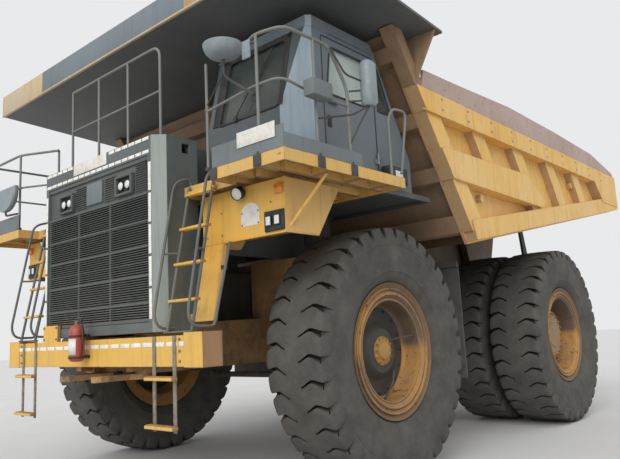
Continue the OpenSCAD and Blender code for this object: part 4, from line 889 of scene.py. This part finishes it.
# painted shade: the dips of the grooves are darkened where ambient occlusion finds them closed in
groove_occlusion = add(tree, "AmbientOcclusion", {"Distance": 0.12}, samples=4)
painted_groove_shade = add(tree, "MapRange", {0: groove_occlusion.outputs["AO"], 1: 0.35, 2: 0.85})
colour = add(tree, "Mix", {0: painted_groove_shade.outputs[0], 6: linear("#262422"), 7: colour.outputs[2]}, data_type="RGBA")
tree.links.new(colour.outputs[2], shader.inputs["Base Color"])
shader.inputs["Roughness"].default_value = 0.82
shader.inputs["Specular IOR Level"].default_value = 0.3
bump = add(tree, "Bump", {"Strength": 0.35, "Distance": 0.004, "Height": fine.outputs[0]})
tree.links.new(bump.outputs[0], shader.inputs["Normal"])

rear_axle = front_axle + 4.56
axle_height = 1.345
wheels = {
    # name: (body, CAD nodes, tyre centres across the truck, place along it, which way is out)
    "front_left": ("wheel_fl", "front_left_rim", "front_left_tyre", [2.085], front_axle, 1),
    "front_right": ("wheel_fr", "front_right_rim", "front_right_tyre", [-2.085], front_axle, -1),
    "rear_left": ("wheels_rl", "rear_left_rims", "rear_left_tyres", [1.38, 2.26], rear_axle, 1),
    "rear_right": ("wheels_rr", "rear_right_rims", "rear_right_tyres", [-1.38, -2.26], rear_axle, -1),
}
for name, (body, rim_node, tyre_node, xs, y, out) in wheels.items():
    tread = together([tyre_surface((x, y, axle_height)) for x in xs])
    tyre = piece(name + "_rock_tyre", tread, tyre_rubber, body, sharp=28)
    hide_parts(tyre_node)


# Rims
# Five-piece welded steel rims, yellow but rusted brown: a rolled base, loose side flanges and a lock ring. The front
# ones are a deep dish whose disc is darkened with painted shade, and a small hub cap; the rear ones show a studded
# hub.
def studs(centre, out, count, ring, at, size, length, turn=0.0):
    """Hexagon nuts with a rounded stud end, in a ring: a six-sided profile carried outward, one per angle."""
    angle = np.arange(count) * 2 * np.pi / count + turn
    around = np.arange(6) * np.pi / 3
    profile = np.array([(0, 1), (0.55, 1), (0.62, 0.9), (0.62, 0.5), (0.95, 0.5), (1.0, 0.35), (1.0, 0.0)])
    x = at + profile[:, 0] * length
    r = profile[:, 1] * size
    dy = ring * np.cos(angle)[:, None, None] + r[None, :, None] * np.cos(around)[None, None, :]
    dz = ring * np.sin(angle)[:, None, None] + r[None, :, None] * np.sin(around)[None, None, :]
    dx = np.broadcast_to(x[None, :, None] * out, dy.shape)
    grid = np.stack([dx, dy, dz], -1) + np.array(centre)
    return together([shell(one, False, True) for one in grid])


# faces turned down, such as the top of the barrel inside, take a dull brown: painted shade
rim_paint = sprayed_plate("rusty_rim_paint", "#bd8a3a", "#9d6f3c", dust="#83705a", rust="#5b3a24", dusty=0.2,
                          rusty=0.75, mud=0.2, streaks=0.5, edge=0.008, painted_light_by_facing=("#5a4b3e", (0.0, 0.0, -1.0), 0.1))
flange_paint = sprayed_plate("worn_flange_paint", "#80613d", "#6b543c", dust="#77664f", rust="#4f3626", dusty=0.3,
                             rusty=0.7, mud=0.2, streaks=0.3, edge=0.006)
hub_paint = sprayed_plate("hub_yellow_paint", "#b9893a", "#a1773c", dust="#8d7a62", rust="#5b3a24", dusty=0.2,
                          rusty=0.5, mud=0.1)
dusty_hub = sprayed_plate("dusty_hub_paint", "#9c7f5e", "#8a6f54", dust="#93816c", rust="#5b3a24", dusty=0.3,
                          rusty=0.5, mud=0.1)
# the disc and its nuts sit deep in the dish: their near-black is painted shade
deep_disc_shade = sprayed_plate("deep_disc_painted_shade", "#3b3a35", "#32312d", dust="#4d453b", rust="#33271e", dusty=0.2,
                           rusty=0.4, mud=0.2)
front_rim = [(0.215, 0.628), (0.262, 0.726), (0.270, 0.734), (0.284, 0.734), (0.290, 0.728), (0.284, 0.716),
             (0.272, 0.708), (0.258, 0.690), (0.256, 0.676), (0.266, 0.668), (0.275, 0.672), (0.281, 0.664),
             (0.279, 0.652), (0.262, 0.640), (0.262, 0.626), (0.272, 0.618), (0.276, 0.604), (0.268, 0.586),
             (0.250, 0.572), (0.244, 0.560), (0.248, 0.548), (0.244, 0.536), (0.220, 0.530), (0.100, 0.528),
             (0.060, 0.522), (0.040, 0.508), (0.034, 0.490)]
front_back = [(-0.215, 0.628), (-0.262, 0.726), (-0.284, 0.734), (-0.272, 0.700), (-0.262, 0.600), (-0.240, 0.560),
              (-0.060, 0.540), (0.000, 0.500)]
front_disc = [(0.034, 0.495), (0.030, 0.470), (0.022, 0.430), (0.022, 0.330), (0.040, 0.300), (0.080, 0.270),
              (0.110, 0.235), (0.112, 0.190), (0.112, 0.000)]
front_hub = [(0.100, 0.158), (0.116, 0.158), (0.122, 0.152), (0.122, 0.128), (0.126, 0.104), (0.148, 0.099),
             (0.156, 0.091), (0.162, 0.060), (0.164, 0.000)]
rear_rim = [(0.215, 0.628), (0.262, 0.726), (0.270, 0.734), (0.284, 0.734), (0.290, 0.728), (0.284, 0.716),
            (0.270, 0.706), (0.258, 0.690), (0.256, 0.672), (0.268, 0.664), (0.280, 0.660), (0.281, 0.648),
            (0.264, 0.636), (0.262, 0.620), (0.272, 0.610), (0.268, 0.590), (0.250, 0.576), (0.244, 0.562),
            (0.220, 0.556), (0.030, 0.550), (-0.015, 0.545), (-0.030, 0.520), (-0.034, 0.470), (-0.034, 0.380)]
rear_hub = [(-0.034, 0.400), (-0.020, 0.388), (0.060, 0.384), (0.078, 0.376), (0.084, 0.360), (0.084, 0.300),
            (0.096, 0.292), (0.100, 0.200), (0.112, 0.190), (0.114, 0.000)]
for name, (body, rim_node, tyre_node, xs, y, out) in wheels.items():
    centre = (xs[-1], y, axle_height)
    is_front = name.startswith("front")
    outline = front_rim if is_front else rear_rim
    rings = [spun(centre, (out, 0, 0), outline[8:]), spun(centre, (out, 0, 0), front_back)]
    piece(name + "_side_flange", spun(centre, (out, 0, 0), outline[:9]), flange_paint, body)
    if not is_front:
        near = (xs[0], y, axle_height)
        rings += [spun(near, (-out, 0, 0), front_back), spun(near, (out, 0, 0), front_back),
                  spun(near, (-out, 0, 0), [(0.0, 0.5), (0.05, 0.54), (0.262, 0.56), (0.284, 0.6), (0.284, 0.734)])]
    rim = piece(name + "_steel_rim", together(rings), rim_paint, body)
    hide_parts(rim_node)
    if is_front:
        piece(name + "_disc", spun(centre, (out, 0, 0), front_disc), deep_disc_shade, body)
        piece(name + "_hub_cap", spun(centre, (out, 0, 0), front_hub), hub_paint, body)
        piece(name + "_hub_nuts", studs(centre, out, 12, 0.141, 0.122, 0.012, 0.028), hub_paint, body)
        piece(name + "_disc_nuts", studs(centre, out, 16, 0.455, 0.024, 0.015, 0.03), deep_disc_shade, body)
        x, y, z = centre
        stems = [tube([(x + out * 0.10, y + 0.10, z + 0.10), (x + out * 0.18, y + 0.25, z + 0.13),
                       (x + out * 0.215, y + 0.533, z + 0.15)], 0.008, 0.05, 8),
                 tube([(x + out * 0.05, y + 0.28, z - 0.24), (x + out * 0.09, y + 0.20, z - 0.36),
                       (x + out * 0.08, y + 0.03, z - 0.515)], 0.012, 0.08, 8)]
        piece(name + "_air_pipes", together(stems), greasy_black, body)
    else:
        piece(name + "_hub", spun(centre, (out, 0, 0), rear_hub), dusty_hub, body)
        piece(name + "_hub_nuts", studs(centre, out, 20, 0.335, 0.084, 0.017, 0.035), rim_paint, body)
